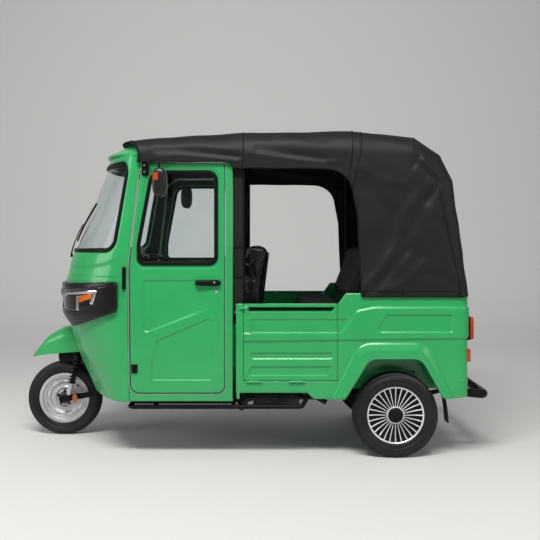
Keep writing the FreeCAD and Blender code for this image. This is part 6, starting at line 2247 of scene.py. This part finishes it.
@dataclass(frozen=True)
class RearFittings:
    """What hangs on the rear body and under the floor: lamps, bumper, mudflaps, and black trays of painted
    shade.
    """

    def bumper(self) -> MeshData:
        """The rear bumper: a fat bent tube with a stay at each side."""
        bar = tube([(2616, -505, 382), (2744, -494, 366), (2744, 494, 366), (2616, 505, 382)], 27.0, 60.0,
                   count=24)
        stays = [tube([(2616, y, 452), (2664, y, 436), (2734, y, 382)], 13.0, 30.0) for y in (-330, 330)]
        return joined([bar] + stays)

    def flap(self) -> MeshData:
        """A mudflap: a thick sheet that leans back under the wheel arch, with a soft bend."""
        t = np.linspace(0, 1, 24)[:, None]
        y = np.linspace(-612.0, -520.0, 16)[None]
        x = 2470.0 + 20.0 * t + 3.0 * np.sin(math.pi * t) + 0 * y
        return thick(np.stack([x, y + 0 * x, 372.0 - 158.0 * t + 0 * y], -1), 7.0)

    def tray(self) -> MeshData:
        """Black trays under the cab floor and behind it: painted shade that fills the dark gaps under the
        body.
        """
        cab = slab(rectangle(566, -560, 1196, 560, 20), 322.0, 347.0, "xy", 4.0, 20.0)
        box = slab(((1226, 322, 12), (1600, 322, 12), (1600, 398, 4), (1226, 398, 4)), 330.0, 410.0,
                   step=12.0)
        skirt = slab(((1196, 318, 8), (1760, 330, 8), (1830, 400, 8), (1196, 400, 8)), 300.0, 306.0,
                     step=16.0)
        return joined([cab, box, skirt, box.mirrored(), skirt.mirrored()])

    def lamps(self) -> tuple[MeshData, MeshData, MeshData]:
        """The left tail lamp's housing, its ribbed lens and the reflector under it."""
        ribs = tuple(Bead(((-596.0, z), (-524.0, z)), 1.6, 3.5) for z in (752.0, 788.0, 824.0))
        return (slab(rectangle(-602, 716, -518, 862, 10), 2600.0, 2624.0, "yz", 3.0, 5.0),
                slab(rectangle(-600, 720, -520, 858, 10), 2624.0, 2646.0, "yz", 8.0, 4.0, reliefs=ribs),
                slab(rectangle(-600, 584, -540, 662, 8), 2604.0, 2627.0, "yz", 4.0, 5.0))

    def build(self) -> None:
        """Adds the fittings."""
        add_piece("bumper_tube", self.bumper(), STEEL, "body", ["rear_bumper"])
        # The trays are painted shade under the body.
        add_piece("under_trays", self.tray(), STEEL, "body")
        housing, lens, reflector = self.lamps()
        for side in Side:
            add_sided(side, (
                ("mudflap_*", self.flap(), FLAP, "body", "mud_flaps"),
                ("tail_housing_*", housing, PLASTIC, "body", "tail_lamps"),
                ("tail_lens_*", lens, TAIL_RED, "body", "tail_lamps"),
                ("tail_reflector_*", reflector, TAIL_RED, "body", "tail_lamps"),
            ))


@dataclass(frozen=True)
class Studio:
    """The plain floor, soft lights and camera."""

    camera_place: tuple[float, float, float] = (0.1405, -5.15, 1.308)
    lens: float = 49.87
    shift_y: float = -0.05

    def floor(self) -> None:
        """A pale floor that curves up into a backdrop behind the vehicle."""
        y = np.array([-16.0, -8, -3, 0, 3, 4.2, 4.9, 5.4, 5.7, 5.85, 5.9, 5.9])
        z = np.array([0.0, 0, 0, 0, 0, 0.03, 0.14, 0.4, 0.8, 1.3, 2.2, 9.0])
        x = np.linspace(-18, 18, 12)
        grid = np.stack([np.broadcast_to(x[:, None], (12, 12)), np.broadcast_to(y[None], (12, 12)),
                         np.broadcast_to(z[None], (12, 12))], -1)
        data = lattice(grid)
        mesh = bpy.data.meshes.new("studio_floor")
        mesh.from_pydata(data.points.tolist(), [], data.quads.tolist())
        mesh.polygons.foreach_set("use_smooth", np.ones(len(mesh.polygons), bool))
        floor = bpy.data.objects.new("studio_floor", mesh)
        bpy.context.scene.collection.objects.link(floor)
        made = bpy.data.materials.new("studio_pale")
        made.use_nodes = True
        shader = made.node_tree.nodes["Principled BSDF"]
        shader.inputs["Base Color"].default_value = (0.7, 0.7, 0.695, 1.0)
        shader.inputs["Roughness"].default_value = 0.65
        floor.data.materials.append(made)

    def world(self) -> None:
        """A soft grey sky that the camera, gloss and glass see as near white."""
        world = bpy.data.worlds.new("studio_air")
        bpy.context.scene.world = world
        world.use_nodes = True
        nodes = Nodes(world.node_tree)
        back = world.node_tree.nodes["Background"]
        path = nodes.add("ShaderNodeLightPath")
        seen = nodes.maths("MAXIMUM", path.outputs["Is Camera Ray"], path.outputs["Is Transmission Ray"])
        seen = nodes.maths("MULTIPLY", seen, 0.9)
        shine = nodes.maths("MULTIPLY", path.outputs["Is Glossy Ray"], 0.28)
        strength = nodes.maths("MAXIMUM", nodes.maths("MAXIMUM", seen, shine), 0.2)
        nodes.feed(back.inputs["Strength"], strength)
        back.inputs["Color"].default_value = (0.95, 0.97, 1.0, 1.0)

    def lamp(self, name: str, place: tuple[float, float, float], aim: tuple[float, float, float],
             size: tuple[float, float], watts: float) -> None:
        """A soft window light turned towards a place, of a width and a height."""
        data = bpy.data.lights.new(name, "AREA")
        data.shape = "RECTANGLE"
        data.size, data.size_y = size
        data.energy = watts
        data.color = (1.0, 0.98, 0.95)
        lamp = bpy.data.objects.new(name, data)
        lamp.location = place
        away = np.array(place) - np.array(aim)
        flat = math.hypot(away[0], away[1])
        lamp.rotation_euler = (math.atan2(flat, away[2]), 0.0, math.atan2(away[0], -away[1]))
        bpy.context.scene.collection.objects.link(lamp)

    def build(self) -> None:
        """Adds the floor, air, lamps and camera."""
        self.floor()
        self.world()
        self.lamp("key_window", (-0.6, -4.4, 6.4), (0.0, 0.0, 0.9), (5.0, 1.1), 560.0)
        self.lamp("front_fill", (-5.5, -2.0, 2.2), (-0.8, 0.0, 0.9), (2.5, 2.5), 70.0)
        self.lamp("rear_fill", (5.0, -3.5, 2.6), (0.8, 0.0, 1.0), (2.5, 2.5), 50.0)
        data = bpy.data.cameras.new("photo_camera")
        data.lens = self.lens
        data.sensor_width = 36.0
        data.shift_y = self.shift_y
        camera = bpy.data.objects.new("photo_camera", data)
        camera.location = self.camera_place
        camera.rotation_euler = (math.pi / 2, 0.0, 0.0)
        bpy.context.scene.collection.objects.link(camera)
        bpy.context.scene.camera = camera
        bpy.context.scene.view_settings.view_transform = "Standard"


CAD_FINISHES = {
    "cab_floor": STEEL, "dashboard": PLASTIC, "roof_frame": STEEL, "driver_seat_base": PAINT,
    "seat_brackets": STEEL, "chassis_frame": STEEL, "engine_block": ALLOY, "rear_axle": STEEL,
    "exhaust": EXHAUST, "steering_fork": STEEL, "handlebar": PLASTIC,
}


def dress_solids(frame: dict) -> None:
    """Gives each CAD solid that stays in view its finish.
    """
    for name, finish in CAD_FINISHES.items():
        solid = frame["nodes"][name]
        for place in solid.material_slots:
            place.material = finish.material()
        if not solid.material_slots:
            solid.data.materials.append(finish.material())


SEATS = (
    Seat("driver_seat_pad", "driver_cushion",
         ((850, 770.5, 20), (1268, 770.5, 20), (1268, 872, 36), (850, 872, 36)), 232.0),
    Seat("driver_back_pad", "driver_back",
         ((1232, 874, 24), (1330, 874, 24), (1396, 1286, 40), (1262, 1306, 34)), 232.0),
    Seat("bench_pad", "bench_cushion",
         ((1585, 830.5, 20), (1905, 830.5, 20), (1905, 908, 34), (1585, 908, 34)), 560.0, BENCH_VINYL, 7.5),
    Seat("bench_back_pad", "bench_back",
         ((1882, 928, 22), (2000, 928, 22), (2118, 1286, 34), (2016, 1306, 34)), 560.0, BENCH_VINYL, 7.5),
)


def main() -> None:
    """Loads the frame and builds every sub-assembly in order."""
    logging.basicConfig(level=logging.INFO, format="%(message)s")
    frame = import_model()
    GROUPS.update({"grain": grain_group(), "dust": dust_group(), "weave": weave_group()})
    Studio().build()
    dress_solids(frame)
    nose = Nose()
    nose.build()
    LampBand(nose).build()
    for side in Side:
        Door(side).build()
        DoorSurround(side).build()
        Mirror(side).build()
        RearSide(side).build()
    RearBox().build()
    RearFittings().build()
    Canopy().build()
    FrontFork().build()
    FrontWheel("front_wheel", (0.0, 0.0, 250.0), 250.0, 95.0, -1).build()
    for side in Side:
        centre = (WHEELBASE, side.value * 558.0, 259.0)
        RearWheel(f"rear_wheel_{side.label}", centre, 259.0, 110.0, side.value).build()
    for seat in SEATS:
        seat.build()


if __name__ == "__main__":
    main()
